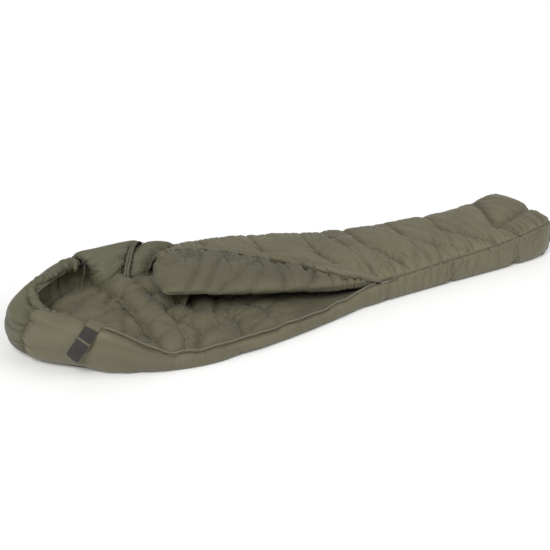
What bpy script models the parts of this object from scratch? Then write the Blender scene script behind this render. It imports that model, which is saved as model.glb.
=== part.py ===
"""A quilted mummy sleeping bag, unzipped down one side and lying on its back.

Frame: +X runs from the hood to the foot, +Y from the zip side to the far side, +Z up.
The origin is at the middle of the underside. Lengths are in metres.
"""

import math

import bmesh
import bpy
import numpy as np
from mathutils import Matrix, Vector

# Driving dimensions: the bag seen from above, as (x, distance from the middle line), from the hood's
# tip to the foot. The legs lie a little towards the near side.
HOOD_AND_TORSO = (
    (-1.15, 0.0), (-1.135, 0.07), (-1.09, 0.14), (-1.0, 0.225), (-0.85, 0.325), (-0.65, 0.385),
    (-0.45, 0.395), (-0.1, 0.345),
)
NEAR_PLAN = HOOD_AND_TORSO + ((0.2, 0.272), (0.5, 0.243), (0.9, 0.222), (1.08, 0.205), (1.143, 0.165))
FAR_PLAN = HOOD_AND_TORSO + ((0.2, 0.262), (0.5, 0.216), (0.85, 0.188), (1.08, 0.19), (1.143, 0.155))
HOOD_END_X = -0.61      # the hood's wall meets the torso's near side
FAR_HOOD_END_X = -0.49  # the hood reaches further down on the far side
ZIP_TOP_X = -0.86       # the zip's open end, up on the hood
ZIP_OPEN_X = 0.262      # where the slider stands
ZIP_END_X = 0.785       # the closed end of the zip
FOOT_PANEL_X = 1.1      # the foot box's end panel begins
FOOT_END_X = 1.143

# Heights above the floor, as (x, z).
NEAR_SEAM = ((-0.6, 0.1), (0.25, 0.1), (0.55, 0.109), (0.8, 0.122), (0.95, 0.142), (1.14, 0.168))
FAR_SEAM = ((-0.6, 0.104), (0.0, 0.098), (0.3, 0.085), (0.6, 0.075), (0.85, 0.088), (1.0, 0.12), (1.14, 0.145))
CROWN = ((-0.6, 0.147), (0.0, 0.13), (0.14, 0.122), (0.28, 0.127), (0.5, 0.143), (0.75, 0.152),
         (0.95, 0.178), (1.08, 0.2), (1.14, 0.19))
NEAR_RIM = (
    (-1.15, 0.19), (-0.97, 0.182), (-0.86, 0.165), (-0.79, 0.126), (-0.73, 0.085), (-0.66, 0.052),
    (-0.57, 0.045), (-0.1, 0.046), (0.1, 0.054), (0.25, 0.082),
)
FAR_HOOD_RIM = ((-1.15, 0.186), (-1.0, 0.188), (-0.8, 0.194), (-0.62, 0.186), (-0.49, 0.165))

# Layers of the quilt.
FABRIC = 0.002
GAP = 0.0004
QUILT = 0.036           # a body panel with its batting
HOOD_QUILT = 0.085      # the hood's thick roll, which thins towards the zip's near side
NEAR_HOOD_QUILT = ((-0.85, 0.085), (-0.75, 0.06), (-0.66, 0.04), (-0.61, 0.036))
BASE_TOP = 0.04
SEAM_DROP = 0.018       # a side panel's upper edge lies this far under the side seam's line

# The flap: the near half of the top panel, folded back about this line onto the far half.
FOLD_POINT = Vector((0.25, -0.25, 0.105))
FOLD_ALONG = Vector((-0.973, 0.2308, 0.04)).normalized()
FOLD_FAR = Vector((0.2308, 0.973, 0.0)).normalized()
FOLD_UP = FOLD_FAR.cross(FOLD_ALONG).normalized()
FLAP_STATIONS = (0.13, 0.05, -0.05, -0.15, -0.25, -0.35, -0.45, -0.52, -0.575)
FLAP_INSET = 0.034
FLAP_SLANT = 0.06       # the flap's head edge runs this much further along the fold than along the zip
FLAP_UNDER = 0.0142     # underside of the folded flap, above the fold line
FLAP_THICK = 0.031

# Zip.
TAPE_THICK = 0.0015
TAPE_WIDE = 0.012
TAPE_INSET = 0.0115
TAPE_LIFT = 0.0016
COIL_WIDE = 0.0042
SLIDER_LENGTH = 0.016

# Cords and their locks.
CORD_RADIUS = 0.0015
CHANNEL_OUTER = 0.008
CHANNEL_INNER = 0.004
LOCK_RADIUS = 0.0085
LOCK_WALL = 0.0018
LOCK_LENGTH = 0.018
COLLAR_ROUTE = ((-0.636, -0.302), (-0.632, -0.17), (-0.63, 0.0), (-0.645, 0.14), (-0.672, 0.25))
COLLAR_WIDE = 0.1
COLLAR_TALL = 0.065

# Closure tab, hanging outside the zip's top end.
TAB_X = -0.925
TAB_WIDE = 0.055
TAB_LONG = 0.135
TAB_SLANT = math.radians(32)    # it hangs slanting towards the hood's tip
TAB_OUT = 0.006
TAB_TOP = 0.18

SHARP_ANGLE = math.radians(35)

OLIVE = (0.165, 0.145, 0.085)
LINING_OLIVE = (0.125, 0.108, 0.066)
CORD_OLIVE = (0.11, 0.098, 0.06)

SHELL = ("shell_fabric", OLIVE, 0.62, 0.0)
LINING = ("lining_fabric", LINING_OLIVE, 0.8, 0.0)
BATTING = ("batting", (0.75, 0.74, 0.7), 0.95, 0.0)
ZIP_WEAVE = ("zip_tape", CORD_OLIVE, 0.75, 0.0)
ZIP_COIL = ("zip_coil", CORD_OLIVE, 0.45, 0.0)
HOOK_LOOP = ("hook_and_loop", (0.035, 0.033, 0.03), 0.9, 0.0)
CORD_WEAVE = ("drawcord", CORD_OLIVE, 0.8, 0.0)
LOCK_PLASTIC = ("lock_plastic", (0.02, 0.02, 0.02), 0.45, 0.0)
ZINC = ("slider_zinc", (0.3, 0.29, 0.26), 0.4, 0.9)
STEEL = ("spring_steel", (0.6, 0.6, 0.6), 0.3, 1.0)


# ---- curves ----

def spline(points, per_span):
    """Points along a smooth curve that passes through every given point."""
    given = [Vector(point) for point in points]
    given = [2 * given[0] - given[1], *given, 2 * given[-1] - given[-2]]
    made = []
    for a, b, c, d in zip(given, given[1:], given[2:], given[3:]):
        for step in range(per_span):
            t = step / per_span
            made.append(0.5 * (2 * b + (c - a) * t + (2 * a - 5 * b + 4 * c - d) * t ** 2
                               + (3 * b - a - 3 * c + d) * t ** 3))
    return [*made, given[-2]]


class Edge:
    """One side of the plan: points, outward directions and the length run from the hood's tip."""

    def __init__(self, plan, side):
        mirrored = (plan[1][0], -plan[1][1])
        dense = spline((mirrored, *plan), 12)[12:]
        self.side = side
        self.x = np.array([point.x for point in dense])
        self.y = np.array([point.y for point in dense])
        self.run = np.concatenate([[0.0], np.cumsum(np.hypot(np.diff(self.x), np.diff(self.y)))])
        self.out_x = -np.gradient(self.y, self.run)
        self.out_y = np.gradient(self.x, self.run)

    def at(self, run):
        """Point and outward direction at a length from the tip."""
        point = Vector((np.interp(run, self.run, self.x), self.side * np.interp(run, self.run, self.y), 0.0))
        outward = Vector((np.interp(run, self.run, self.out_x),
                          self.side * np.interp(run, self.run, self.out_y), 0.0))
        return point, outward.normalized()

    def y_at(self, x, inset=0.0):
        """The edge's y at x, or that of a line that runs inside the edge."""
        return self.side * float(np.interp(x, self.x - self.out_x * inset, self.y - self.out_y * inset))


NEAR = Edge(NEAR_PLAN, -1.0)
FAR = Edge(FAR_PLAN, 1.0)


def rim(run):
    """Point and outward direction on the plan's edge, at a length from the tip: near side negative."""
    return FAR.at(run) if run >= 0 else NEAR.at(-run)


def near_run(x):
    return -float(np.interp(x, NEAR.x, NEAR.run))


def far_run(x):
    return float(np.interp(x, FAR.x, FAR.run))


def height(profile, x):
    return float(np.interp(x, [at for at, _ in profile], [z for _, z in profile]))


def near_side_height(x):
    if x > NEAR_RIM[-1][0]:
        return height(NEAR_SEAM, x) - SEAM_DROP
    return height(NEAR_RIM, x)


def far_side_height(x):
    return height(FAR_SEAM, x) - SEAM_DROP


def hood_thickness(run):
    return height(NEAR_HOOD_QUILT, rim(run)[0].x) if run < 0 else HOOD_QUILT


# ---- bodies ----

def clear_scene():
    for thing in list(bpy.data.objects):
        bpy.data.objects.remove(thing, do_unlink=True)


def material(name, colour, roughness, metallic):
    made = bpy.data.materials.get(name) or bpy.data.materials.new(name)
    made.use_nodes = True
    shader = made.node_tree.nodes["Principled BSDF"]
    shader.inputs["Base Color"].default_value = (*colour, 1.0)
    shader.inputs["Roughness"].default_value = roughness
    shader.inputs["Metallic"].default_value = metallic
    return made


def add_node(name, body, look, origin=None):
    bmesh.ops.recalc_face_normals(body, faces=body.faces)
    mesh = bpy.data.meshes.new(name)
    body.to_mesh(mesh)
    body.free()
    mesh.materials.append(material(*look))
    mesh.shade_smooth()
    mesh.set_sharp_from_angle(angle=SHARP_ANGLE)
    made = bpy.data.objects.new(name, mesh)
    bpy.context.scene.collection.objects.link(made)
    if origin is not None:
        mesh.transform(Matrix.Translation(-Vector(origin)))
        made.location = origin
    return made


def split_quad(body, corners):
    """Two triangles, cut from the corner that lies furthest towards the hood's near side.

    Layers that follow one another's shape are then cut alike and keep their gap.
    """
    order = [corner.co.x + 0.37 * corner.co.y for corner in corners]
    start = order.index(min(order))
    a, b, c, d = corners[start:] + corners[:start]
    body.faces.new((a, b, c))
    body.faces.new((a, c, d))


def skin(body, rings):
    """Faces between neighbouring rings of equally many points."""
    loops = [[body.verts.new(point) for point in ring] for ring in rings]
    for first, second in zip(loops, loops[1:]):
        for corner in range(len(first)):
            after = (corner + 1) % len(first)
            split_quad(body, [first[corner], first[after], second[after], second[corner]])
    return loops


def solid(name, rings, look, origin=None):
    """A closed body through rings of points, capped at both ends."""
    body = bmesh.new()
    loops = skin(body, rings)
    body.faces.new(loops[0])
    body.faces.new(loops[-1])
    return add_node(name, body, look, origin)


def sleeve(name, outer, inner, look, origin=None, blind=False):
    """A tube with a wall between outer and inner rings, open at both ends, or closed at its first end."""
    body = bmesh.new()
    outside = skin(body, outer)
    inside = skin(body, inner)
    ends = (-1,) if blind else (0, -1)
    for end in ends:
        for corner in range(len(outside[end])):
            after = (corner + 1) % len(outside[end])
            body.faces.new((outside[end][corner], outside[end][after], inside[end][after], inside[end][corner]))
    if blind:
        body.faces.new(outside[0])
        body.faces.new(inside[0])
    return add_node(name, body, look, origin)


def wall(name, runs, insets, high, look, on_floor=False):
    """An upright strip along the plan's edge, bulging outwards at half height.

    insets gives its outer and inner face's distance inside the edge at a run.
    """
    rings = []
    for run in runs:
        point, outward = rim(run)
        top = high(point.x)
        outer, inner = insets(run)
        levels = [(FABRIC, 0.012), ((FABRIC + top) / 2, 0.0), (top, 0.01)]
        if on_floor:
            levels.insert(0, (0.0, 0.012))
        outside = [point - outward * (outer + bulge) + Vector((0, 0, z)) for z, bulge in levels]
        inside = [point - outward * (inner + bulge) + Vector((0, 0, z)) for z, bulge in reversed(levels)]
        rings.append(outside + inside)
    return solid(name, rings, look)


def quilted_wall(prefix, runs, thickness, high, lined=True):
    """A side panel: outer fabric down to the floor, batting inside it and lining on the inner face."""
    wall(f"{prefix}_outer_shell", runs, lambda run: (0.0, FABRIC), high, SHELL, on_floor=True)
    wall(f"{prefix}_insulation", runs, lambda run: (FABRIC + GAP, thickness(run) - FABRIC - GAP), high, BATTING)
    if lined:
        wall(f"{prefix}_lining", runs, lambda run: (thickness(run) - FABRIC, thickness(run)), high, LINING)


def panel(name, stations, near, far, columns, low, high, look):
    """A lying panel between a near and a far edge, under and over two height functions of x and y."""
    rings = []
    for x in stations:
        ys = np.linspace(near(x), far(x), columns)
        under = [Vector((x, y, low(x, y))) for y in ys]
        over = [Vector((x, y, high(x, y))) for y in reversed(ys)]
        rings.append(under + over)
    return solid(name, rings, look)


def layers(prefix, under, thick):
    """Name, look, lower and upper offset of a quilted panel's three layers, the outer shell first."""
    return (
        (f"{prefix}_outer_shell", SHELL, under, under + FABRIC),
        (f"{prefix}_insulation", BATTING, under + FABRIC + GAP, under + thick - FABRIC - GAP),
        (f"{prefix}_lining", LINING, under + thick - FABRIC, under + thick),
    )


def spread(first, last, count):
    return [first + (last - first) * step / (count - 1) for step in range(count)]


# ---- the bag's quilted panels ----

def make_base():
    stations = (-1.03, -1.0, -0.9, -0.8, -0.7, -0.585, -0.555, -0.475, -0.445, -0.3, -0.1, 0.1, 0.25, 0.4, 0.6,
                0.8, 0.95, 1.05, FOOT_PANEL_X - 0.002)

    def near(x):
        return NEAR.y_at(x, height(NEAR_HOOD_QUILT, x - 0.045) + 0.02)

    def far(x):
        return FAR.y_at(x, height(((-0.475, HOOD_QUILT), (-0.445, QUILT)), x) + 0.016)

    for name, look, low, high in layers("base", 0.0, BASE_TOP):
        panel(name, stations, near, far, 5, lambda x, y: low, lambda x, y: high, look)


def make_sides():
    near_runs = [near_run(x) for x in (HOOD_END_X, -0.57, -0.5, -0.35, -0.2, -0.05, 0.1, 0.25, 0.4, 0.55, 0.7,
                                      0.85, 0.98, 1.05, FOOT_PANEL_X - 0.002)]
    quilted_wall("near_side", near_runs, lambda run: QUILT, near_side_height)
    far_runs = [far_run(x) for x in (FAR_HOOD_END_X + 0.002, -0.4, -0.25, -0.1, 0.05, 0.2, 0.4, 0.6, 0.8,
                                    0.98, 1.05, FOOT_PANEL_X - 0.002)]
    quilted_wall("far_side", far_runs, lambda run: QUILT, far_side_height)


def fold_y(x):
    return FOLD_POINT.y + (x - FOLD_POINT.x) * FOLD_ALONG.y / FOLD_ALONG.x


def make_top():
    """The top panel: whole over the legs, and only its far half beside the open flap."""
    stations = (-0.575, -0.53, -0.49, -0.455, -0.42, -0.3, -0.15, 0.0, 0.12, 0.2, 0.25, 0.3, 0.45, 0.6,
                0.75, 0.9, 1.0, 1.05, FOOT_PANEL_X - 0.002)

    def near(x):
        return NEAR.y_at(x) if x > FOLD_POINT.x else max(NEAR.y_at(x), fold_y(x) + 0.004)

    def far(x):
        return min(FAR.y_at(x), (x + 0.6) / 0.35 - 0.05)

    def surface(x, y):
        seam, side = (FAR_SEAM, FAR) if y > 0 else (NEAR_SEAM, NEAR)
        edge = height(seam, x) + 0.019
        return edge + (height(CROWN, x) - edge) * (1 - min(1.0, y / side.y_at(x)) ** 2.2)

    for name, look, low, high in layers("top", 0.0, QUILT):
        panel(name, stations, near, far, 6, lambda x, y: surface(x, y) - high,
              lambda x, y: surface(x, y) - low, look)


def make_foot_box():
    """The end panel of the foot box: lining, batting and a rounded outer shell."""
    def outline(x, shrink):
        top = height(CROWN, x) - shrink
        points = [(0.0, top)]
        for side, seam_line in ((FAR, FAR_SEAM), (NEAR, NEAR_SEAM)):
            half, seam = abs(side.y_at(x)) - shrink, height(seam_line, x) - shrink
            corner = [(half * 0.72, top - 0.012), (half - 0.004, seam), (half, seam * 0.55), (half - 0.02, 0.0)]
            corner = [(side.side * y, z) for y, z in corner]
            points = [*reversed(corner), *points] if side is NEAR else [*points, *corner]
        return [Vector((x, y, z)) for y, z in points]

    first = FOOT_PANEL_X
    spans = (
        ("foot_box_lining", LINING, (first, first + FABRIC), (0.0, 0.0)),
        ("foot_box_insulation", BATTING, (first + FABRIC + GAP, 1.133), (0.0, 0.006)),
        ("foot_box_outer_shell", SHELL, (1.133 + GAP, FOOT_END_X), (0.0, 0.012)),
    )
    for name, look, ends, shrinks in spans:
        solid(name, [outline(x, shrink) for x, shrink in zip(ends, shrinks)], look)


# ---- the hood ----

def far_hood_height(x):
    return height(FAR_HOOD_RIM, x)


def make_hood():
    """The hood's thick roll in four quilted segments, with one lining round the inside."""
    split = 0.0008
    near_end, near_crown = near_run(HOOD_END_X - 0.001), near_run(-1.02)
    far_crown, far_split, far_end = far_run(-1.06), far_run(-0.77), far_run(FAR_HOOD_END_X)
    near_bends = [near_run(x) for x in (-0.66, -0.73, -0.79, -0.86, -0.92, -0.97)]
    segments = (
        ("hood_near", [near_end, *near_bends, near_crown - split], near_side_height),
        ("hood_crown", [*spread(near_crown + split, 0.0, 4), *spread(0.0, far_crown - split, 3)[1:]],
         lambda x: 0.19),
        ("hood_far_rear", spread(far_crown + split, far_split - split, 6), far_hood_height),
        ("hood_far_front", spread(far_split + split, far_end - split, 5), far_hood_height),
    )
    for prefix, runs, high in segments:
        quilted_wall(prefix, runs, lambda run: hood_thickness(run) - FABRIC - GAP, high, lined=False)

    def lining_height(run):
        x = rim(run)[0].x
        if run < near_crown:
            return near_side_height(x)
        return 0.186 if run < far_crown else far_hood_height(x)

    rings = []
    for run in [near_end, *near_bends, *spread(near_crown, far_end, 17)]:
        point, outward = rim(run)
        top = lining_height(run)
        inset = hood_thickness(run) + 0.012
        outer, inner = point - outward * inset, point - outward * (inset + FABRIC)
        rings.append([Vector((*outer.xy, FABRIC)), Vector((*outer.xy, top)),
                      Vector((*inner.xy, top)), Vector((*inner.xy, FABRIC))])
    solid("hood_lining", rings, LINING)


# ---- flap and draft tube ----

def flap_frame(x):
    """Along and across the fold line, for the point where the closed flap reaches the near edge at x."""
    offset = Vector((x, NEAR.y_at(x, FLAP_INSET), FOLD_POINT.z)) - FOLD_POINT
    return offset.dot(FOLD_ALONG), abs(offset.dot(FOLD_FAR))


def flap_point(along, across, up):
    return FOLD_POINT + FOLD_ALONG * along + FOLD_FAR * across + FOLD_UP * up


def flap_strip(name, inner, outer, low, high, look, stations=FLAP_STATIONS):
    """A piece of the folded flap, between two distances across the fold line as functions of the edge's."""
    full = flap_frame(FLAP_STATIONS[-1])
    rings = []
    for x in stations:
        along, across = flap_frame(x)
        ring = []
        for part, up in ((inner, low), (outer, low), (outer, high), (inner, high)):
            slant = FLAP_SLANT * (along / full[0]) ** 3 * (1 - part(across) / full[1])
            ring.append(flap_point(along + slant, part(across), up))
        rings.append(ring)
    return solid(name, rings, look)


def make_flap():
    for name, look, low, high in layers("flap", FLAP_UNDER, FLAP_THICK):
        flap_strip(name, lambda edge: 0.004, lambda edge: edge, low, high, look)
    on_lining = FLAP_UNDER + FLAP_THICK + GAP
    flap_strip("draft_tube", lambda edge: edge - 0.044, lambda edge: edge - 0.015,
               on_lining, on_lining + 0.022, SHELL, FLAP_STATIONS[1:])
    middle = FLAP_UNDER + FLAP_THICK / 2
    flap_strip("upper_zip_tape", lambda edge: edge + GAP, lambda edge: edge + TAPE_WIDE,
               middle, middle + TAPE_THICK, ZIP_WEAVE)
    flap_strip("upper_zip_coil", lambda edge: edge + TAPE_WIDE + GAP,
               lambda edge: edge + TAPE_WIDE + COIL_WIDE,
               middle - 0.001, middle + TAPE_THICK + 0.001, ZIP_COIL)
    flap_strip("flap_loop_patch", lambda edge: edge - 0.06, lambda edge: edge - 0.012,
               FLAP_UNDER - GAP - 0.0014, FLAP_UNDER - GAP, HOOK_LOOP, (-0.51, -0.565))


# ---- zip ----

def make_lower_zip():
    """The open half of the zip, standing on the near rim from the slider up on to the hood."""
    runs = [near_run(x) for x in (0.245, 0.15, 0.1, 0.0, -0.1, -0.25, -0.4, -0.57, -0.66, -0.73, -0.79, ZIP_TOP_X)]
    parts = (
        ("lower_zip_tape", ZIP_WEAVE, TAPE_INSET, TAPE_THICK, TAPE_LIFT, TAPE_WIDE),
        ("lower_zip_coil", ZIP_COIL, TAPE_INSET - 0.0012, COIL_WIDE, TAPE_LIFT + TAPE_WIDE + GAP, COIL_WIDE),
    )
    for name, look, inset, thick, lift, tall in parts:
        rings = []
        for run in runs:
            point, outward = rim(run)
            low = near_side_height(point.x) + lift
            outer, inner = point - outward * inset, point - outward * (inset + thick)
            rings.append([Vector((*outer.xy, low)), Vector((*outer.xy, low + tall)),
                          Vector((*inner.xy, low + tall)), Vector((*inner.xy, low))])
        solid(name, rings, look)


def zip_line(x):
    """A point on the closed zip's straight line, on the side seam just outside the fabric."""
    share = (x - ZIP_OPEN_X) / (ZIP_END_X - ZIP_OPEN_X)
    ends = [Vector((at, NEAR.y_at(at) - 0.0012, height(NEAR_SEAM, at))) for at in (ZIP_OPEN_X, ZIP_END_X)]
    return ends[0].lerp(ends[1], share)


ZIP_ALONG = (zip_line(ZIP_END_X) - zip_line(ZIP_OPEN_X)).normalized()
ZIP_OUT = Vector((ZIP_ALONG.y, -ZIP_ALONG.x, 0.0)).normalized()
ZIP_UP = ZIP_OUT.cross(ZIP_ALONG).normalized()


def zip_bar(name, start, first, last, outline, look, origin=None):
    """An outline of (out, up) points drawn along the closed zip, between two lengths from a start."""
    if ZIP_UP.z < 0:
        raise ValueError("the closed zip's frame is upside down")
    rings = [[start + ZIP_ALONG * at + ZIP_OUT * out + ZIP_UP * up for out, up in outline]
             for at in (first, last)]
    return solid(name, rings, look, origin)


def oblong(out_low, out_high, half):
    return ((out_low, -half), (out_high, -half), (out_high, half), (out_low, half))


def make_closed_zip():
    start = zip_line(ZIP_OPEN_X)
    length = (zip_line(ZIP_END_X) - start).length
    zip_bar("closed_zip_tape", start, 0.0, length, oblong(0.0, TAPE_THICK, TAPE_WIDE), ZIP_WEAVE)
    face = TAPE_THICK + GAP
    zip_bar("closed_zip_coil", start, 0.0, length, oblong(face, face + 0.004, 0.003), ZIP_COIL)
    zip_bar("zip_bottom_stop", start, length + GAP, length + 0.005, oblong(face, face + 0.0055, 0.005), ZINC)
    plate, roof = face + 0.0046, face + 0.0066
    channel = ((face + 0.0003, -0.0062), (roof, -0.0062), (roof, 0.0062), (face + 0.0003, 0.0062),
               (face + 0.0003, 0.0036), (plate, 0.0036), (plate, -0.0036), (face + 0.0003, -0.0036))
    zip_bar("zip_slider", start, -SLIDER_LENGTH / 2, SLIDER_LENGTH / 2, channel, ZINC, start)
    pivot = start + ZIP_OUT * (roof + 0.001)
    zip_bar("slider_pull", start, -0.0006, 0.026, oblong(roof + GAP, roof + 0.0016, 0.004), ZINC, pivot)
    zip_bar("pull_tape", start, 0.026 + GAP, 0.06, oblong(roof + GAP, roof + 0.002, 0.0045), ZIP_WEAVE, pivot)


# ---- closure tab and foot loops ----

def tab_frame():
    """The tab's root, and its outward, downward and crosswise directions."""
    point, outward = rim(near_run(TAB_X))
    headward = Vector((outward.y, -outward.x, 0.0))
    down = headward * math.sin(TAB_SLANT) - Vector((0, 0, 1)) * math.cos(TAB_SLANT)
    return point + outward * TAB_OUT + Vector((0, 0, TAB_TOP)), outward, down, down.cross(outward).normalized()


def make_tab():
    """A hook-and-loop tab that hangs outside the zip's top and folds up and over it."""
    pivot, outward, down, across = tab_frame()
    plates = (
        ("closure_tab", SHELL, 0.0, 0.001, TAB_LONG, TAB_WIDE),
        ("tab_upper_patch", HOOK_LOOP, 0.002, 0.012, 0.052, TAB_WIDE - 0.003),
        ("tab_lower_patch", HOOK_LOOP, 0.002, 0.064, 0.13, TAB_WIDE - 0.003),
    )
    for name, look, out, first, last, wide in plates:
        rings = [[pivot + outward * away + down * at + across * (side * wide / 2)
                  for away, at in ((out, first), (out + 0.0016, first), (out + 0.0016, last), (out, last))]
                 for side in (-1, 1)]
        solid(name, rings, look, pivot)


def make_foot_loops():
    """A flat folded loop of webbing at each lower corner of the foot panel."""
    inner, outer, thick, low, high = FOOT_END_X + GAP, 1.15, 0.0016, 0.05, 0.095
    outline = ((inner, high), (inner, low), (outer, low), (outer, high), (outer - thick, high),
               (outer - thick, low + thick), (inner + thick, low + thick), (inner + thick, high))
    for name, middle in (("near_foot_loop", -0.13), ("far_foot_loop", 0.13)):
        rings = [[Vector((x, middle + side * 0.009, z)) for x, z in outline] for side in (-1, 1)]
        solid(name, rings, ZIP_WEAVE, (inner, middle, high))


# ---- draft collar, drawcords and their locks ----

def ring_round(centre, across, up, wide, tall, count):
    return [centre + across * (wide * math.cos(math.tau * step / count))
            + up * (tall * math.sin(math.tau * step / count)) for step in range(count)]


def rings_along(route, wide, tall, count):
    rings = []
    for index, point in enumerate(route):
        ahead = route[min(index + 1, len(route) - 1)] - route[max(index - 1, 0)]
        across = Vector((ahead.y, -ahead.x, 0.0)).normalized()
        up = across.cross(ahead).normalized()
        rings.append(ring_round(point, across, up, wide, tall, count))
    return rings


def channel_and_cord(prefix, route):
    """A gathered fabric channel and the drawcord that runs all through it."""
    sleeve(f"{prefix}_drawcord_channel", rings_along(route, CHANNEL_OUTER, CHANNEL_OUTER, 6),
           rings_along(route, CHANNEL_INNER, CHANNEL_INNER, 6), SHELL)
    cord(f"{prefix}_drawcord", route)


def cord(name, route):
    made = bpy.data.curves.new(name, "CURVE")
    made.dimensions = "3D"
    made.bevel_depth = CORD_RADIUS
    made.bevel_resolution = 2
    made.use_fill_caps = True
    line = made.splines.new("POLY")
    line.points.add(len(route) - 1)
    for slot, point in zip(line.points, route):
        slot.co = (*point, 1.0)
    made.materials.append(material(*CORD_WEAVE))
    bpy.context.scene.collection.objects.link(bpy.data.objects.new(name, made))


def make_collar():
    """The draft collar: a padded roll across the shoulders, with a drawcord channel on its hood side."""
    lift = BASE_TOP + GAP + COLLAR_TALL / 2
    route = [Vector((*point.xy, lift)) for point in spline([(x, y, 0) for x, y in COLLAR_ROUTE], 3)]
    half, tall = COLLAR_WIDE / 2, COLLAR_TALL / 2
    thin = FABRIC + GAP
    sleeve("draft_collar_shell", rings_along(route, half, tall, 10),
           rings_along(route, half - FABRIC, tall - FABRIC, 10), LINING)
    solid("draft_collar_insulation", rings_along(route, half - thin, tall - thin, 10), BATTING)
    beside = half + CHANNEL_OUTER + 0.001
    return [Vector((point.x - beside, point.y * 0.9, BASE_TOP + 0.014)) for point in route]


def hood_channel_route():
    near, far = near_run(-0.95), far_run(-0.84)
    made = []
    for run in spread(near, far, 26):
        point, outward = rim(run)
        made.append(Vector((*(point - outward * (HOOD_QUILT + 0.014 + CHANNEL_OUTER + 0.003)).xy, 0.172)))
    return made


def make_lock(prefix, near_face, along):
    """A barrel cord lock: a cup, the plunger that slides in it, and the spring under the plunger.

    Returns the middle of the cup's floor.
    """
    up = Vector((0, 0, 1))
    across = along.cross(up).normalized()
    base = near_face + along * (LOCK_RADIUS + 3 * GAP) - up * LOCK_LENGTH / 2
    bore = LOCK_RADIUS - LOCK_WALL

    def disc(radius, z, count=12):
        return ring_round(base + up * z, across, along, radius, radius, count)

    sleeve(f"{prefix}_cord_lock_body", [disc(LOCK_RADIUS, 0.0), disc(LOCK_RADIUS, LOCK_LENGTH)],
           [disc(bore, LOCK_WALL), disc(bore, LOCK_LENGTH)], LOCK_PLASTIC, base, blind=True)
    seat, stem = 0.009, bore - 0.0006
    solid(f"{prefix}_cord_lock_plunger", [disc(stem, seat), disc(stem, LOCK_LENGTH + 0.004),
                                          disc(stem - 0.0008, LOCK_LENGTH + 0.005)], LOCK_PLASTIC, base)
    turns, steps, wire = 3, 8, 0.0005
    rings = []
    for step in range(turns * steps + 1):
        angle = math.tau * step / steps
        radial = across * math.cos(angle) + along * math.sin(angle)
        rise = LOCK_WALL + 0.0008 + (seat - LOCK_WALL - 0.0018) * step / (turns * steps)
        rings.append(ring_round(base + radial * (bore - 0.0018) + up * rise, radial, up, wire, wire, 4))
    solid(f"{prefix}_cord_lock_spring", rings, STEEL, base)
    return base


def make_cords(hood_route, collar_route):
    """Both drawcords in their channels, their locks, and the free tail that hangs out of each lock.

    A tail's route is given as (towards the middle, headwards, up) from the middle of its lock's floor.
    """
    ends = (
        ("hood", hood_route, hood_route[-1], hood_route[-2], 1.0,
         ((0.0115, 0.0, 0.008), (0.02, 0.002, 0.004), (0.024, 0.008, -0.02), (0.021, 0.018, -0.05),
          (0.024, 0.024, -0.08))),
        ("collar", collar_route, collar_route[0], collar_route[1], -1.0,
         ((0.0, 0.0115, 0.008), (0.0, 0.024, 0.002), (0.012, 0.04, -0.0015), (0.04, 0.044, -0.0015),
          (0.07, 0.03, -0.0015))),
    )
    for prefix, route, last, before, side, tail in ends:
        channel_and_cord(prefix, route)
        base = make_lock(prefix, last, (last - before).normalized())
        cord(f"{prefix}_cord_tail",
             spline([base + Vector((-head, -side * middle, up)) for middle, head, up in tail], 6))


def main():
    clear_scene()
    make_base()
    make_sides()
    make_top()
    make_foot_box()
    make_hood()
    make_flap()
    make_lower_zip()
    make_closed_zip()
    make_tab()
    make_foot_loops()
    make_cords(hood_channel_route(), make_collar())


main()
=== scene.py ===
"""Looks of a quilted mummy sleeping bag: soft quilted shell, lining, zips, cords and hook-and-loop tab."""

import math

import bpy
import numpy as np
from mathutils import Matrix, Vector


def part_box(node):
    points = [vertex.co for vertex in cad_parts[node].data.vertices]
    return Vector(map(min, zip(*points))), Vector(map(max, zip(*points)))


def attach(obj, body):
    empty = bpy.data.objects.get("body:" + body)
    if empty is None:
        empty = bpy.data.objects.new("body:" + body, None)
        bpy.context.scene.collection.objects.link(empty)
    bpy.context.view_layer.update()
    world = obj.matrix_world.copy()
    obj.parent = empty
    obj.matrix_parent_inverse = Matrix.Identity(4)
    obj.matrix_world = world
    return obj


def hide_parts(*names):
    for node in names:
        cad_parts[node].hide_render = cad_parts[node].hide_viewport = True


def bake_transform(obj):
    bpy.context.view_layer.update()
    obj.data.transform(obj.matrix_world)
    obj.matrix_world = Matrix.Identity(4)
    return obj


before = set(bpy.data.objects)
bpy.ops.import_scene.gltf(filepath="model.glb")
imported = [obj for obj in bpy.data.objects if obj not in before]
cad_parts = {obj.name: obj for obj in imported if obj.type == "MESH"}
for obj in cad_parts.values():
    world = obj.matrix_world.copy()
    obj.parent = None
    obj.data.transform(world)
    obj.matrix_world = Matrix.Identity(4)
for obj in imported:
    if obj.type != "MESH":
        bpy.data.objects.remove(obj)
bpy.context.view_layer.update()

UP = np.array((0.0, 0.0, 1.0))

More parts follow.
